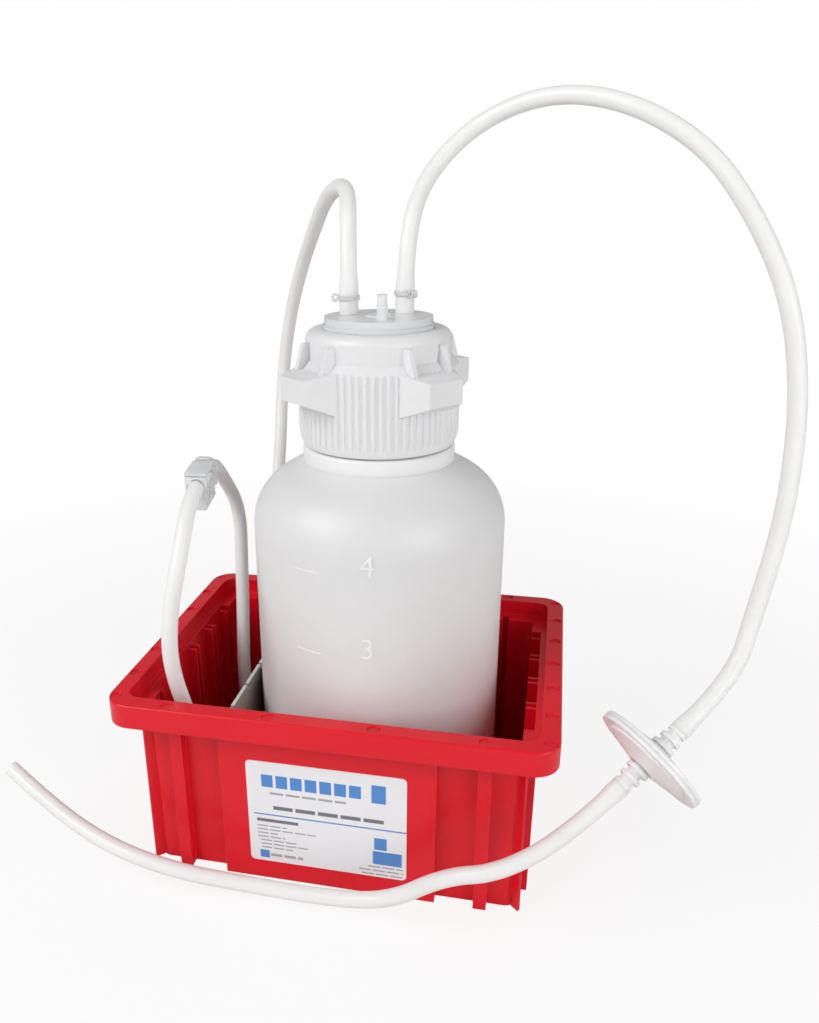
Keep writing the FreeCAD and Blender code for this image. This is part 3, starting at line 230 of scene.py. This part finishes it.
class TrapStage(bpy.types.PropertyGroup):
    """Light and floor."""

    key: bpy.props.FloatProperty(
        name="Key", description="Main lamp", default=21.0, min=0, unit="POWER")
    fill: bpy.props.FloatProperty(
        name="Fill", description="Lamp on the other side", default=11.0, min=0, unit="POWER")
    top: bpy.props.FloatProperty(
        name="Top", description="Lamp overhead", default=2.5, min=0, unit="POWER")
    around: bpy.props.FloatProperty(
        name="Around", description="Light from all round", default=0.52, min=0)
    floor_size: bpy.props.FloatProperty(
        name="Floor", description="Side of the floor",
        default=12.0, unit="LENGTH", subtype="DISTANCE")


def feed(tree, socket, value):
    """Sets a socket to a value, or wires it to another node's output."""
    if isinstance(value, bpy.types.NodeSocket):
        tree.links.new(value, socket)
    else:
        socket.default_value = value


def add_node(tree, kind, inputs=None, **settings):
    """A node whose inputs are set to values or wired to other nodes' outputs."""
    node = tree.nodes.new(kind)
    for name, value in settings.items():
        setattr(node, name, value)
    for name, value in (inputs or {}).items():
        feed(tree, node.inputs[name], value)
    return node


def maths(tree, operation, first, second=0.0):
    """The result of one sum on values or outputs."""
    node = add_node(tree, "ShaderNodeMath", {0: first, 1: second}, operation=operation)
    return node.outputs[0]


def blended(tree, share, first, second):
    """The colour between two others. Sockets 6, 7 and 2 are the node's colour sockets."""
    node = add_node(tree, "ShaderNodeMix", {0: share, 6: first, 7: second},
                    data_type="RGBA")
    return node.outputs[2]


def new_group(name, inputs, outputs):
    """An empty effect with named inputs and outputs, and its two end nodes."""
    group = bpy.data.node_groups.new(name, "ShaderNodeTree")
    for label, kind, value in inputs:
        socket = group.interface.new_socket(
            name=label, in_out="INPUT", socket_type="NodeSocket" + kind)
        socket.default_value = value
    for label, kind in outputs:
        group.interface.new_socket(
            name=label, in_out="OUTPUT", socket_type="NodeSocket" + kind)
    return group, group.nodes.new("NodeGroupInput"), group.nodes.new("NodeGroupOutput")


def moulded_surface():
    """Colour drift, fine grain and uneven gloss of a moulded plastic."""
    known = bpy.data.node_groups.get("Moulded Surface")
    if known:
        return known
    grey = (0.5, 0.5, 0.5, 1)
    tree, given, result = new_group(
        "Moulded Surface",
        (("Colour", "Color", grey), ("Second Colour", "Color", grey),
         ("Patch Scale", "Float", 12.0), ("Grain Scale", "Float", 900.0),
         ("Roughness", "Float", 0.35), ("Spread", "Float", 0.1)),
        (("Colour", "Color"), ("Roughness", "Float"), ("Height", "Float")))
    where = add_node(tree, "ShaderNodeTexCoord").outputs["Object"]
    patches = add_node(tree, "ShaderNodeTexNoise", {
        "Vector": where, "Scale": given.outputs["Patch Scale"], "Detail": 3.0})
    grain = add_node(tree, "ShaderNodeTexNoise", {
        "Vector": where, "Scale": given.outputs["Grain Scale"], "Detail": 2.0})
    share = add_node(tree, "ShaderNodeMapRange", {
        "Value": patches.outputs["Fac"], "From Min": 0.2, "From Max": 0.8},
        interpolation_type="SMOOTHSTEP")
    colour = blended(tree, share.outputs[0], given.outputs["Colour"],
                     given.outputs["Second Colour"])
    offset = maths(tree, "SUBTRACT", patches.outputs["Fac"], 0.5)
    spread = maths(tree, "MULTIPLY", offset, given.outputs["Spread"])
    gloss = maths(tree, "ADD", given.outputs["Roughness"], spread)
    tree.links.new(colour, result.inputs["Colour"])
    tree.links.new(gloss, result.inputs["Roughness"])
    tree.links.new(grain.outputs["Fac"], result.inputs["Height"])
    return tree


def soft_edges():
    """Rounds sharp edges in the shading, and gives a mask of them, along which a painted
    highlight can be laid.
    """
    known = bpy.data.node_groups.get("Soft Edges")
    if known:
        return known
    tree, given, result = new_group(
        "Soft Edges", (("Radius", "Float", 0.0006),),
        (("Normal", "Vector"), ("Edge", "Float")))
    rounded = add_node(tree, "ShaderNodeBevel", {"Radius": given.outputs["Radius"]}, samples=4)
    plain = add_node(tree, "ShaderNodeNewGeometry").outputs["Normal"]
    match = add_node(tree, "ShaderNodeVectorMath",
                     {0: rounded.outputs["Normal"], 1: plain}, operation="DOT_PRODUCT")
    edge = add_node(tree, "ShaderNodeMapRange", {
        "Value": match.outputs["Value"], "From Min": 0.995, "From Max": 0.8})
    tree.links.new(rounded.outputs["Normal"], result.inputs["Normal"])
    tree.links.new(edge.outputs[0], result.inputs["Edge"])
    return tree


def printed_block():
    """A mask of an upright rectangle on the bin's front, broken up at an even pitch."""
    known = bpy.data.node_groups.get("Printed Block")
    if known:
        return known
    tree, given, result = new_group(
        "Printed Block",
        (("Across", "Float", 0.0), ("Up", "Float", 0.05),
         ("Half Width", "Float", 0.01), ("Half Height", "Float", 0.01),
         ("Pitch", "Float", 1.0), ("Fill", "Float", 1.0)),
        (("Mask", "Float"),))
    where = add_node(tree, "ShaderNodeTexCoord").outputs["Object"]
    axes = add_node(tree, "ShaderNodeSeparateXYZ", {"Vector": where})
    reaches = []
    for axis, centre, half in (("X", "Across", "Half Width"), ("Z", "Up", "Half Height")):
        offset = maths(tree, "SUBTRACT", axes.outputs[axis], given.outputs[centre])
        away = maths(tree, "ABSOLUTE", offset)
        reaches.append(maths(tree, "SUBTRACT", away, given.outputs[half]))
    furthest = maths(tree, "MAXIMUM", reaches[0], reaches[1])
    mask = add_node(tree, "ShaderNodeMapRange", {
        "Value": furthest, "From Min": 0.0001, "From Max": -0.0001})
    start = maths(tree, "SUBTRACT", given.outputs["Across"], given.outputs["Half Width"])
    along = maths(tree, "SUBTRACT", axes.outputs["X"], start)
    turn = maths(tree, "FRACT", maths(tree, "DIVIDE", along, given.outputs["Pitch"]))
    inked = maths(tree, "LESS_THAN", turn, given.outputs["Fill"])
    tree.links.new(maths(tree, "MULTIPLY", mask.outputs[0], inked), result.inputs["Mask"])
    return tree


def placed(tree, group, **values):
    """A shared effect placed in a material, with its own values."""
    node = add_node(tree, "ShaderNodeGroup", node_tree=group)
    for name, value in values.items():
        feed(tree, node.inputs[name.replace("_", " ").title()], value)
    return node


def darker(colour, share):
    """An opaque colour at a share of the brightness."""
    return tuple(part * share for part in tuple(colour)[:3]) + (1,)


def plastic(name, colour, second, patch_scale=12.0, grain_scale=900.0, roughness=0.35,
            spread=0.1, relief=0.02, edge_radius=0.0, edge_highlight_colour=None, **shader):
    """A moulded plastic. The named shader values are the same all over the surface. An edge
    colour is a painted highlight along the sharp edges.
    """
    material = bpy.data.materials.new(name)
    material.use_nodes = True
    tree = material.node_tree
    surface = tree.nodes["Principled BSDF"]
    body = placed(tree, moulded_surface(), colour=tuple(colour), second_colour=tuple(second),
                  patch_scale=patch_scale, grain_scale=grain_scale, roughness=roughness,
                  spread=spread)
    shade = body.outputs["Colour"]
    grain = add_node(tree, "ShaderNodeBump", {
        "Height": body.outputs["Height"], "Strength": relief, "Distance": 0.0005})
    if edge_radius:
        edges = placed(tree, soft_edges(), radius=edge_radius)
        tree.links.new(edges.outputs["Normal"], grain.inputs["Normal"])
        # Painted highlight: the edge colour is blended in along the sharp edges.
        if edge_highlight_colour:
            shade = blended(tree, edges.outputs["Edge"], shade, edge_highlight_colour)
    tree.links.new(shade, surface.inputs["Base Color"])
    tree.links.new(body.outputs["Roughness"], surface.inputs["Roughness"])
    tree.links.new(grain.outputs["Normal"], surface.inputs["Normal"])
    surface.inputs["Subsurface Radius"].default_value = (1, 1, 1)
    for key, value in shader.items():
        label = key if key == "IOR" else key.replace("_", " ")
        surface.inputs[label].default_value = value
    return material


def paint(name, material):
    """Gives a CAD piece its finish."""
    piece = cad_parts[name]
    if not piece.material_slots:
        piece.data.materials.append(material)
    for slot in piece.material_slots:
        slot.material = material


def soften(mesh, angle=35):
    """Smooth shading, broken at edges sharper than the angle in degrees."""
    work = bmesh.new()
    work.from_mesh(mesh)
    bmesh.ops.recalc_face_normals(work, faces=work.faces)
    for face in work.faces:
        face.smooth = True
    for edge in work.edges:
        edge.smooth = edge.calc_face_angle(0) < math.radians(angle)
    work.to_mesh(mesh)
    work.free()


def add_piece(name, mesh, material, body):
    """A finished mesh as a piece of the object that moves with a body."""
    mesh.materials.append(material)
    piece = bpy.data.objects.new(name, mesh)
    bpy.context.scene.collection.objects.link(piece)
    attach(piece, body)
    return piece


def hose_line(name, route):
    """Closely spaced points on the smooth line that the route's corners draw."""
    curve = bpy.data.curves.new(name, "CURVE")
    curve.dimensions = "3D"
    spline = curve.splines.new("NURBS")
    spline.points.add(len(route) - 1)
    for point, spot in zip(spline.points, route):
        point.co = (*spot, 1)
    spline.order_u = 3
    spline.use_endpoint_u = True
    spline.resolution_u = 14
    carrier = bpy.data.objects.new(name, curve)
    bpy.context.scene.collection.objects.link(carrier)
    mesh = bpy.data.meshes.new_from_object(carrier)
    line = [vertex.co.copy() for vertex in mesh.vertices]
    bpy.data.objects.remove(carrier)
    return line


def tube_mesh(name, line, wall, sides=28):
    """A hollow tube along a line. wall gives (outside, inside) radius at a distance."""
    count = len(line)
    total = sum((b - a).length for a, b in zip(line, line[1:]))
    work = bmesh.new()
    rings = []
    side = Vector((1, 0, 0))
    travelled = 0.0
    for index, spot in enumerate(line):
        ahead = line[min(index + 1, count - 1)] - line[max(index - 1, 0)]
        ahead.normalize()
        side = (side - ahead * side.dot(ahead)).normalized()
        third = ahead.cross(side)
        if index:
            travelled += (spot - line[index - 1]).length
        pair = []
        for radius in wall(travelled, total):
            pair.append([work.verts.new(spot + radius * (
                side * math.cos(2 * math.pi * k / sides)
                + third * math.sin(2 * math.pi * k / sides))) for k in range(sides)])
        rings.append(pair)
    for here, beyond in zip(rings, rings[1:]):
        for layer in (0, 1):
            for k in range(sides):
                n = (k + 1) % sides
                work.faces.new((here[layer][k], here[layer][n],
                                beyond[layer][n], beyond[layer][k]))
    for outer, inner in (rings[0], rings[-1]):
        for k in range(sides):
            n = (k + 1) % sides
            work.faces.new((outer[k], outer[n], inner[n], inner[k]))
    mesh = bpy.data.meshes.new(name)
    work.to_mesh(mesh)
    work.free()
    soften(mesh, 50)
    return mesh


class TRAP_OT_place_camera(bpy.types.Operator):
    """Stands the camera where the picture was taken from"""

    bl_idname = "trap.place_camera"
    bl_label = "Place Camera"

    def execute(self, context):
        view = context.scene.trap_camera
        level = math.cos(view.dip)
        forward = Vector((-math.sin(view.bearing) * level, math.cos(view.bearing) * level,
                          -math.sin(view.dip)))
        right = forward.cross(Vector((0, 0, 1))).normalized()
        up = right.cross(forward)
        right, up = (right * math.cos(view.roll) + up * math.sin(view.roll),
                     up * math.cos(view.roll) - right * math.sin(view.roll))
        lens = bpy.data.cameras.new("photo_camera")
        lens.lens = view.lens
        lens.sensor_width = 36
        lens.shift_x, lens.shift_y = view.shift
        lens.clip_start = 0.01
        camera = bpy.data.objects.new("photo_camera", lens)
        context.scene.collection.objects.link(camera)
        turn = Matrix((right, up, -forward)).transposed().to_4x4()
        camera.matrix_world = Matrix.Translation(view.place) @ turn
        context.scene.camera = camera
        return {"FINISHED"}


class TRAP_OT_lay_hoses(bpy.types.Operator):
    """Lays the three hoses along their routes"""

    bl_idname = "trap.lay_hoses"
    bl_label = "Lay Hoses"

    def execute(self, context):
        hoses = context.scene.trap_hoses
        colour = tuple(hoses.colour)
        milky = plastic("milky_hose", colour, darker(colour, 0.96), patch_scale=40.0,
                        roughness=0.30, spread=0.15, relief=0.03,
                        Subsurface_Weight=0.4, Subsurface_Scale=0.004, IOR=1.38)
        plans = (
            ("inlet_hose", INLET_ROUTE, "inlet_tube", 1.285,
             self.widened(hoses, PORT_REACH, PORT_RINGS, 0), "bare",
             ["clamp_frame", "clamp_arm"]),
            ("vacuum_hose_upper", UPPER_ROUTE, "vacuum_tube_upper", 0.617,
             self.widened(hoses, PORT_REACH, PORT_RINGS, STEM_REACH), "connector",
             ["filter_inlet_shell", "filter_outlet_shell", "filter_membrane"]),
            ("vacuum_hose_lower", LOWER_ROUTE, "vacuum_tube_lower", 0.441,
             self.widened(hoses, STEM_REACH, (), 0), "bare", []),
        )
        for name, route, node, length, wall, far_end, carried in plans:
            line = hose_line(name + "_line", route)
            hose = add_piece(name, tube_mesh(name, line, wall), milky, "insert")
            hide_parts(node)
        return {"FINISHED"}

    def widened(self, hoses, start_reach, start_rings, end_reach):
        """Radii along a hose whose ends are stretched over a port or stem."""
        def wall(distance, total):
            grown = 0.0
            if start_reach:
                grown = max(grown, self.eased(distance, start_reach))
            if end_reach:
                grown = max(grown, self.eased(total - distance, end_reach))
            ripple = sum(RING_HEIGHT * math.exp(-((distance - ring) / RING_WIDTH) ** 2)
                         for ring in start_rings)
            return (hoses.radius + hoses.swell * grown + ripple,
                    hoses.bore + hoses.swell * grown)
        return wall

    def eased(self, distance, reach):
        """1 over a port, easing to 0 over the cone beyond it."""
        if distance <= reach:
            return 1.0
        return max(0.0, 1 - (distance - reach) / CONE_LENGTH) ** 2


class TRAP_OT_finish_bin(bpy.types.Operator):
    """Gives the bin its glossy red plastic, with a painted highlight along its edges"""

    bl_idname = "trap.finish_bin"
    bl_label = "Finish Bin"

    def execute(self, context):
        colour = tuple(context.scene.trap_finishes.bin_colour)
        # The lighter red at the edges is a painted highlight along the bin's edges.
        red = plastic("red_plastic", colour, darker(colour, 0.93), patch_scale=9.0,
                      grain_scale=1400.0, roughness=0.30, spread=0.12, relief=0.05,
                      edge_radius=0.0009, edge_highlight_colour=(0.80, 0.03, 0.05, 1),
                      Subsurface_Weight=0.05, Subsurface_Scale=0.004, IOR=1.40)
        paint("bin", red)
        return {"FINISHED"}


class TRAP_OT_print_label(bpy.types.Operator):
    """Gives the label its film with plain bars and rules"""

    bl_idname = "trap.print_label"
    bl_label = "Print Label"

    def execute(self, context):
        finishes = context.scene.trap_finishes
        colour = tuple(finishes.label_colour)
        film = plastic("label_film", colour, darker(colour, 0.97), patch_scale=30.0,
                       roughness=0.32, spread=0.1, relief=0.01, Coat_Weight=0.2)
        tree = film.node_tree
        surface = tree.nodes["Principled BSDF"]
        ink = tuple(finishes.print_colour)
        slate = (0.16, 0.17, 0.19, 1)
        steel = (0.35, 0.37, 0.40, 1)
        shade = surface.inputs["Base Color"].links[0].from_socket
        for tint, blocks in ((ink, INK_BLOCKS), (slate, SLATE_BLOCKS),
                             (steel, STEEL_BLOCKS + self.fine_rows())):
            for across, up, half_width, half_height, pitch, fill in blocks:
                block = placed(tree, printed_block(), across=across, up=up,
                               half_width=half_width, half_height=half_height,
                               pitch=pitch, fill=fill)
                shade = blended(tree, block.outputs["Mask"], shade, tint)
        tree.links.new(shade, surface.inputs["Base Color"])
        paint("front_label", film)
        return {"FINISHED"}

    def fine_rows(self):
        """The fine rows as blocks."""
        return tuple(
            ((first + last) / 2, top - step * row, (last - first) / 2, ROW_HALF_HEIGHT,
             pitch, fill)
            for top, step, pitch, fill, rows in FINE_ROWS
            for row, (first, last) in enumerate(rows))


class TRAP_OT_finish_divider(bpy.types.Operator):
    """Gives the divider its matt sheet"""

    bl_idname = "trap.finish_divider"
    bl_label = "Finish Divider"

    def execute(self, context):
        colour = tuple(context.scene.trap_finishes.divider_colour)
        board = plastic("divider_sheet", colour, darker(colour, 0.85), patch_scale=60.0,
                        grain_scale=1800.0, roughness=0.55, relief=0.15)
        tree = board.node_tree
        surface = tree.nodes["Principled BSDF"]
        # Faces that look upward, the sheet's top edge, get a pale grey.
        facing = add_node(tree, "ShaderNodeNewGeometry").outputs["True Normal"]
        upward = add_node(tree, "ShaderNodeSeparateXYZ", {"Vector": facing}).outputs["Z"]
        upward_faces = maths(tree, "GREATER_THAN", upward, 0.7)
        flat = surface.inputs["Base Color"].links[0].from_socket
        shade = blended(tree, upward_faces, flat, (0.66, 0.68, 0.68, 1))
        tree.links.new(shade, surface.inputs["Base Color"])
        paint("divider", board)
        return {"FINISHED"}


class TRAP_OT_finish_bottle(bpy.types.Operator):
    """Gives the bottle its milky plastic"""

    bl_idname = "trap.finish_bottle"
    bl_label = "Finish Bottle"

    def execute(self, context):
        colour = tuple(context.scene.trap_finishes.bottle_colour)
        milky = plastic("milky_bottle", colour, darker(colour, 0.97), patch_scale=14.0,
                        grain_scale=500.0, roughness=0.38, spread=0.1, relief=0.04,
                        edge_radius=0.0008, Subsurface_Weight=0.5, Subsurface_Scale=0.01,
                        IOR=1.48)
        paint("bottle", milky)
        return {"FINISHED"}


class TRAP_OT_mark_bottle(bpy.types.Operator):
    """Raises the litre marks on the bottle's front"""

    bl_idname = "trap.mark_bottle"
    bl_label = "Mark Bottle"

    def execute(self, context):
        marks = context.scene.trap_marks
        raised = plastic("raised_mark", (0.89, 0.89, 0.89, 1), (0.87, 0.87, 0.87, 1),
                         patch_scale=14.0, grain_scale=500.0, roughness=0.38)
        for order in range(marks.count):
            litres = marks.top_litre - order
            height = marks.top_height - order * marks.litre_height
            numeral = self.numeral(str(litres), marks.numeral_height, marks.relief)
            self.wrap(numeral, marks.numeral_bearing, height, marks)
            tick = self.bar(marks.tick_length, marks.tick_sheet, marks.relief)
            self.wrap(tick, marks.tick_bearing, height - marks.tick_drop, marks)
            for kind, mesh in (("numeral", numeral), ("tick", tick)):
                soften(mesh)
                add_piece("bottle_%s_%d" % (kind, litres), mesh, raised, "bottle")
        return {"FINISHED"}

    def numeral(self, figure, height, relief):
        """A flat numeral with a little thickness, centred on its own origin."""
        curve = bpy.data.curves.new("numeral", "FONT")
        curve.body = figure
        curve.size = height / NUMERAL_SHARE
        curve.extrude = relief
        curve.align_x, curve.align_y = "CENTER", "CENTER"
        carrier = bpy.data.objects.new("numeral", curve)
        bpy.context.scene.collection.objects.link(carrier)
        mesh = bpy.data.meshes.new_from_object(carrier)
        bpy.data.objects.remove(carrier)
        return mesh

    def bar(self, length, height, relief, steps=12):
        """A flat bar along X, cut into short lengths so that it can be wrapped."""
        work = bmesh.new()
        corners = ((-height / 2, -relief), (height / 2, -relief),
                   (height / 2, relief), (-height / 2, relief))
        rings = [[work.verts.new((length * (k / steps - 0.5), up, out)) for up, out in corners]
                 for k in range(steps + 1)]
        for here, beyond in zip(rings, rings[1:]):
            for k in range(4):
                n = (k + 1) % 4
                work.faces.new((here[k], here[n], beyond[n], beyond[k]))
        work.faces.new(rings[0])
        work.faces.new(rings[-1])
        mesh = bpy.data.meshes.new("tick")
        work.to_mesh(mesh)
        work.free()
        return mesh

    def wrap(self, mesh, bearing, height, marks):
        """Bends a flat mesh round the bottle's wall."""
        for vertex in mesh.vertices:
            across, up, out = vertex.co
            turn = bearing + across / marks.wall_radius
            reach = marks.wall_radius + out
            vertex.co = (marks.axis_place + reach * math.cos(turn), reach * math.sin(turn),
                         height + up)


class TRAP_OT_finish_closure(bpy.types.Operator):
    """Gives the collar, port insert and gasket their plastics"""

    bl_idname = "trap.finish_closure"
    bl_label = "Finish Closure"

    def execute(self, context):
        colour = tuple(context.scene.trap_finishes.closure_colour)
        white = plastic("white_collar", colour, darker(colour, 0.97), patch_scale=25.0,
                        grain_scale=1100.0, roughness=0.36, spread=0.08, relief=0.03,
                        edge_radius=0.0006, Subsurface_Weight=0.25, Subsurface_Scale=0.004)
        paint("cap_collar", white)
        clear = plastic("clear_insert", (0.96, 0.97, 0.98, 1), (0.93, 0.94, 0.96, 1),
                        patch_scale=30.0, roughness=0.16, spread=0.06, relief=0.02,
                        edge_radius=0.0004, Transmission_Weight=0.3,
                        Subsurface_Weight=0.2, Subsurface_Scale=0.003, IOR=1.46)
        paint("port_insert", clear)
        rubber = plastic("pale_rubber", (0.72, 0.72, 0.70, 1), (0.66, 0.66, 0.64, 1),
                         roughness=0.7, relief=0.1)
        paint("cap_gasket", rubber)
        nylon = plastic("clear_nylon", (0.90, 0.91, 0.90, 1), (0.84, 0.85, 0.85, 1),
                        patch_scale=200.0, roughness=0.25, relief=0.05,
                        edge_radius=0.0002, Transmission_Weight=0.4, IOR=1.45)
        paint("inlet_tube_tie", nylon)
        paint("vacuum_tube_tie", nylon)
        return {"FINISHED"}


class TRAP_OT_finish_filter(bpy.types.Operator):
    """Gives the disc filter its satin shells and porous membrane"""

    bl_idname = "trap.finish_filter"
    bl_label = "Finish Filter"

    def execute(self, context):
        shell = plastic("filter_shell", (0.92, 0.92, 0.92, 1), (0.88, 0.88, 0.89, 1),
                        patch_scale=40.0, roughness=0.33, relief=0.04, edge_radius=0.0004,
                        Subsurface_Weight=0.4, Subsurface_Scale=0.004)
        paint("filter_inlet_shell", shell)
        paint("filter_outlet_shell", shell)
        weave = plastic("porous_membrane", (0.84, 0.84, 0.83, 1), (0.78, 0.78, 0.77, 1),
                        patch_scale=900.0, grain_scale=4000.0, roughness=0.85, relief=0.3)
        paint("filter_membrane", weave)
        return {"FINISHED"}


class TRAP_OT_finish_clamp(bpy.types.Operator):
    """Gives the pinch clamp its clear plastic"""

    bl_idname = "trap.finish_clamp"
    bl_label = "Finish Clamp"

    def execute(self, context):
        clear = plastic("clamp_plastic", (0.90, 0.91, 0.92, 1), (0.85, 0.86, 0.87, 1),
                        patch_scale=90.0, roughness=0.24, relief=0.04, edge_radius=0.0003,
                        Transmission_Weight=0.35, Subsurface_Weight=0.3,
                        Subsurface_Scale=0.003, IOR=1.45)
        paint("clamp_frame", clear)
        paint("clamp_arm", clear)
        return {"FINISHED"}


class TRAP_OT_set_stage(bpy.types.Operator):
    """Sets the floor, the lamps and the white surroundings"""

    bl_idname = "trap.set_stage"
    bl_label = "Set Stage"

    def execute(self, context):
        stage = context.scene.trap_stage
        context.scene.view_settings.view_transform = "Standard"
        self.lay_floor(context, stage.floor_size)
        self.light_world(context, stage.around)
        for name, place, side, power in LAMPS:
            lamp = bpy.data.lights.new(name, "AREA")
            lamp.size = side
            lamp.energy = getattr(stage, power)
            holder = bpy.data.objects.new(name, lamp)
            holder.location = place
            away = Vector(place) - LAMP_AIM
            holder.rotation_euler = away.to_track_quat("Z", "Y").to_euler()
            context.scene.collection.objects.link(holder)
        return {"FINISHED"}

    def seen_rays(self, tree):
        """1 for rays that show the surroundings white, seen straight or through a piece."""
        rays = add_node(tree, "ShaderNodeLightPath")
        return maths(tree, "MAXIMUM", rays.outputs["Is Camera Ray"],
                     rays.outputs["Is Transmission Ray"])

    def lay_floor(self, context, size):
        mesh = bpy.data.meshes.new("floor")
        half = size / 2
        mesh.from_pydata([(-half, -half, 0), (half, -half, 0), (half, half, 0),
                          (-half, half, 0)], [], [(0, 1, 2, 3)])
        floor = bpy.data.objects.new("floor", mesh)
        context.scene.collection.objects.link(floor)
        floor.location.z = -0.0002
        pale = bpy.data.materials.new("pale_floor")
        pale.use_nodes = True
        tree = pale.node_tree
        surface = tree.nodes["Principled BSDF"]
        body = placed(tree, moulded_surface(), colour=(0.86, 0.86, 0.86, 1),
                      second_colour=(0.85, 0.85, 0.85, 1), patch_scale=2.0, roughness=0.8)
        tree.links.new(body.outputs["Colour"], surface.inputs["Base Color"])
        tree.links.new(body.outputs["Roughness"], surface.inputs["Roughness"])
        surface.inputs["Specular IOR Level"].default_value = 0.1
        seen = self.seen_rays(tree)
        where = add_node(tree, "ShaderNodeTexCoord").outputs["Object"]
        away = add_node(tree, "ShaderNodeVectorMath", {0: where}, operation="LENGTH")
        far = add_node(tree, "ShaderNodeMapRange", {
            "Value": away.outputs["Value"], "From Min": 0.35, "From Max": 0.95,
            "To Min": 0.85, "To Max": 1.0}, interpolation_type="SMOOTHSTEP")
        white = add_node(tree, "ShaderNodeEmission")
        mixed = add_node(tree, "ShaderNodeMixShader", {
            0: maths(tree, "MULTIPLY", seen, far.outputs[0]),
            1: surface.outputs[0], 2: white.outputs[0]})
        tree.links.new(mixed.outputs[0], tree.nodes["Material Output"].inputs["Surface"])
        mesh.materials.append(pale)

    def light_world(self, context, around):
        world = bpy.data.worlds.new("white_room")
        context.scene.world = world
        world.use_nodes = True
        tree = world.node_tree
        facing = add_node(tree, "ShaderNodeTexCoord").outputs["Generated"]
        upward = add_node(tree, "ShaderNodeSeparateXYZ", {"Vector": facing}).outputs["Z"]
        lit = add_node(tree, "ShaderNodeMapRange", {
            "Value": upward, "To Min": around, "To Max": 0.25 * around})
        strength = add_node(tree, "ShaderNodeMapRange", {
            "Value": self.seen_rays(tree), "To Min": lit.outputs[0], "To Max": 1.0})
        back = tree.nodes["Background"]
        back.inputs["Color"].default_value = (1, 1, 1, 1)
        tree.links.new(strength.outputs[0], back.inputs["Strength"])


class TRAP_PT_dressing(bpy.types.Panel):
    """Lists the steps that dress the trap"""

    bl_idname = "TRAP_PT_dressing"
    bl_label = "Vacuum Trap"
    bl_space_type = "VIEW_3D"
    bl_region_type = "UI"
    bl_category = "Trap"

    def draw(self, context):
        for step in STEPS:
            self.layout.operator(step.bl_idname)
        for holder, group in SETTINGS:
            box = self.layout.box()
            for name in group.__annotations__:
                box.prop(getattr(context.scene, holder), name)


SETTINGS = (("trap_camera", TrapCamera), ("trap_hoses", TrapHoses),
            ("trap_finishes", TrapFinishes), ("trap_marks", TrapMarks),
            ("trap_stage", TrapStage))
STEPS = (
    TRAP_OT_place_camera,
    TRAP_OT_lay_hoses,
    TRAP_OT_finish_bin,
    TRAP_OT_print_label,
    TRAP_OT_finish_divider,
    TRAP_OT_finish_bottle,
    TRAP_OT_mark_bottle,
    TRAP_OT_finish_closure,
    TRAP_OT_finish_filter,
    TRAP_OT_finish_clamp,
    TRAP_OT_set_stage,
)


def register():
    for name, group in SETTINGS:
        bpy.utils.register_class(group)
        setattr(bpy.types.Scene, name, bpy.props.PointerProperty(type=group))
    for step in STEPS:
        bpy.utils.register_class(step)
    bpy.utils.register_class(TRAP_PT_dressing)


def unregister():
    bpy.utils.unregister_class(TRAP_PT_dressing)
    for step in reversed(STEPS):
        bpy.utils.unregister_class(step)
    for name, group in reversed(SETTINGS):
        delattr(bpy.types.Scene, name)
        bpy.utils.unregister_class(group)


def main():
    register()
    bpy.ops.trap.place_camera()
    bpy.ops.trap.lay_hoses()
    bpy.ops.trap.finish_bin()
    bpy.ops.trap.print_label()
    bpy.ops.trap.finish_divider()
    bpy.ops.trap.finish_bottle()
    bpy.ops.trap.mark_bottle()
    bpy.ops.trap.finish_closure()
    bpy.ops.trap.finish_filter()
    bpy.ops.trap.finish_clamp()
    bpy.ops.trap.set_stage()


if __name__ == "__main__":
    main()
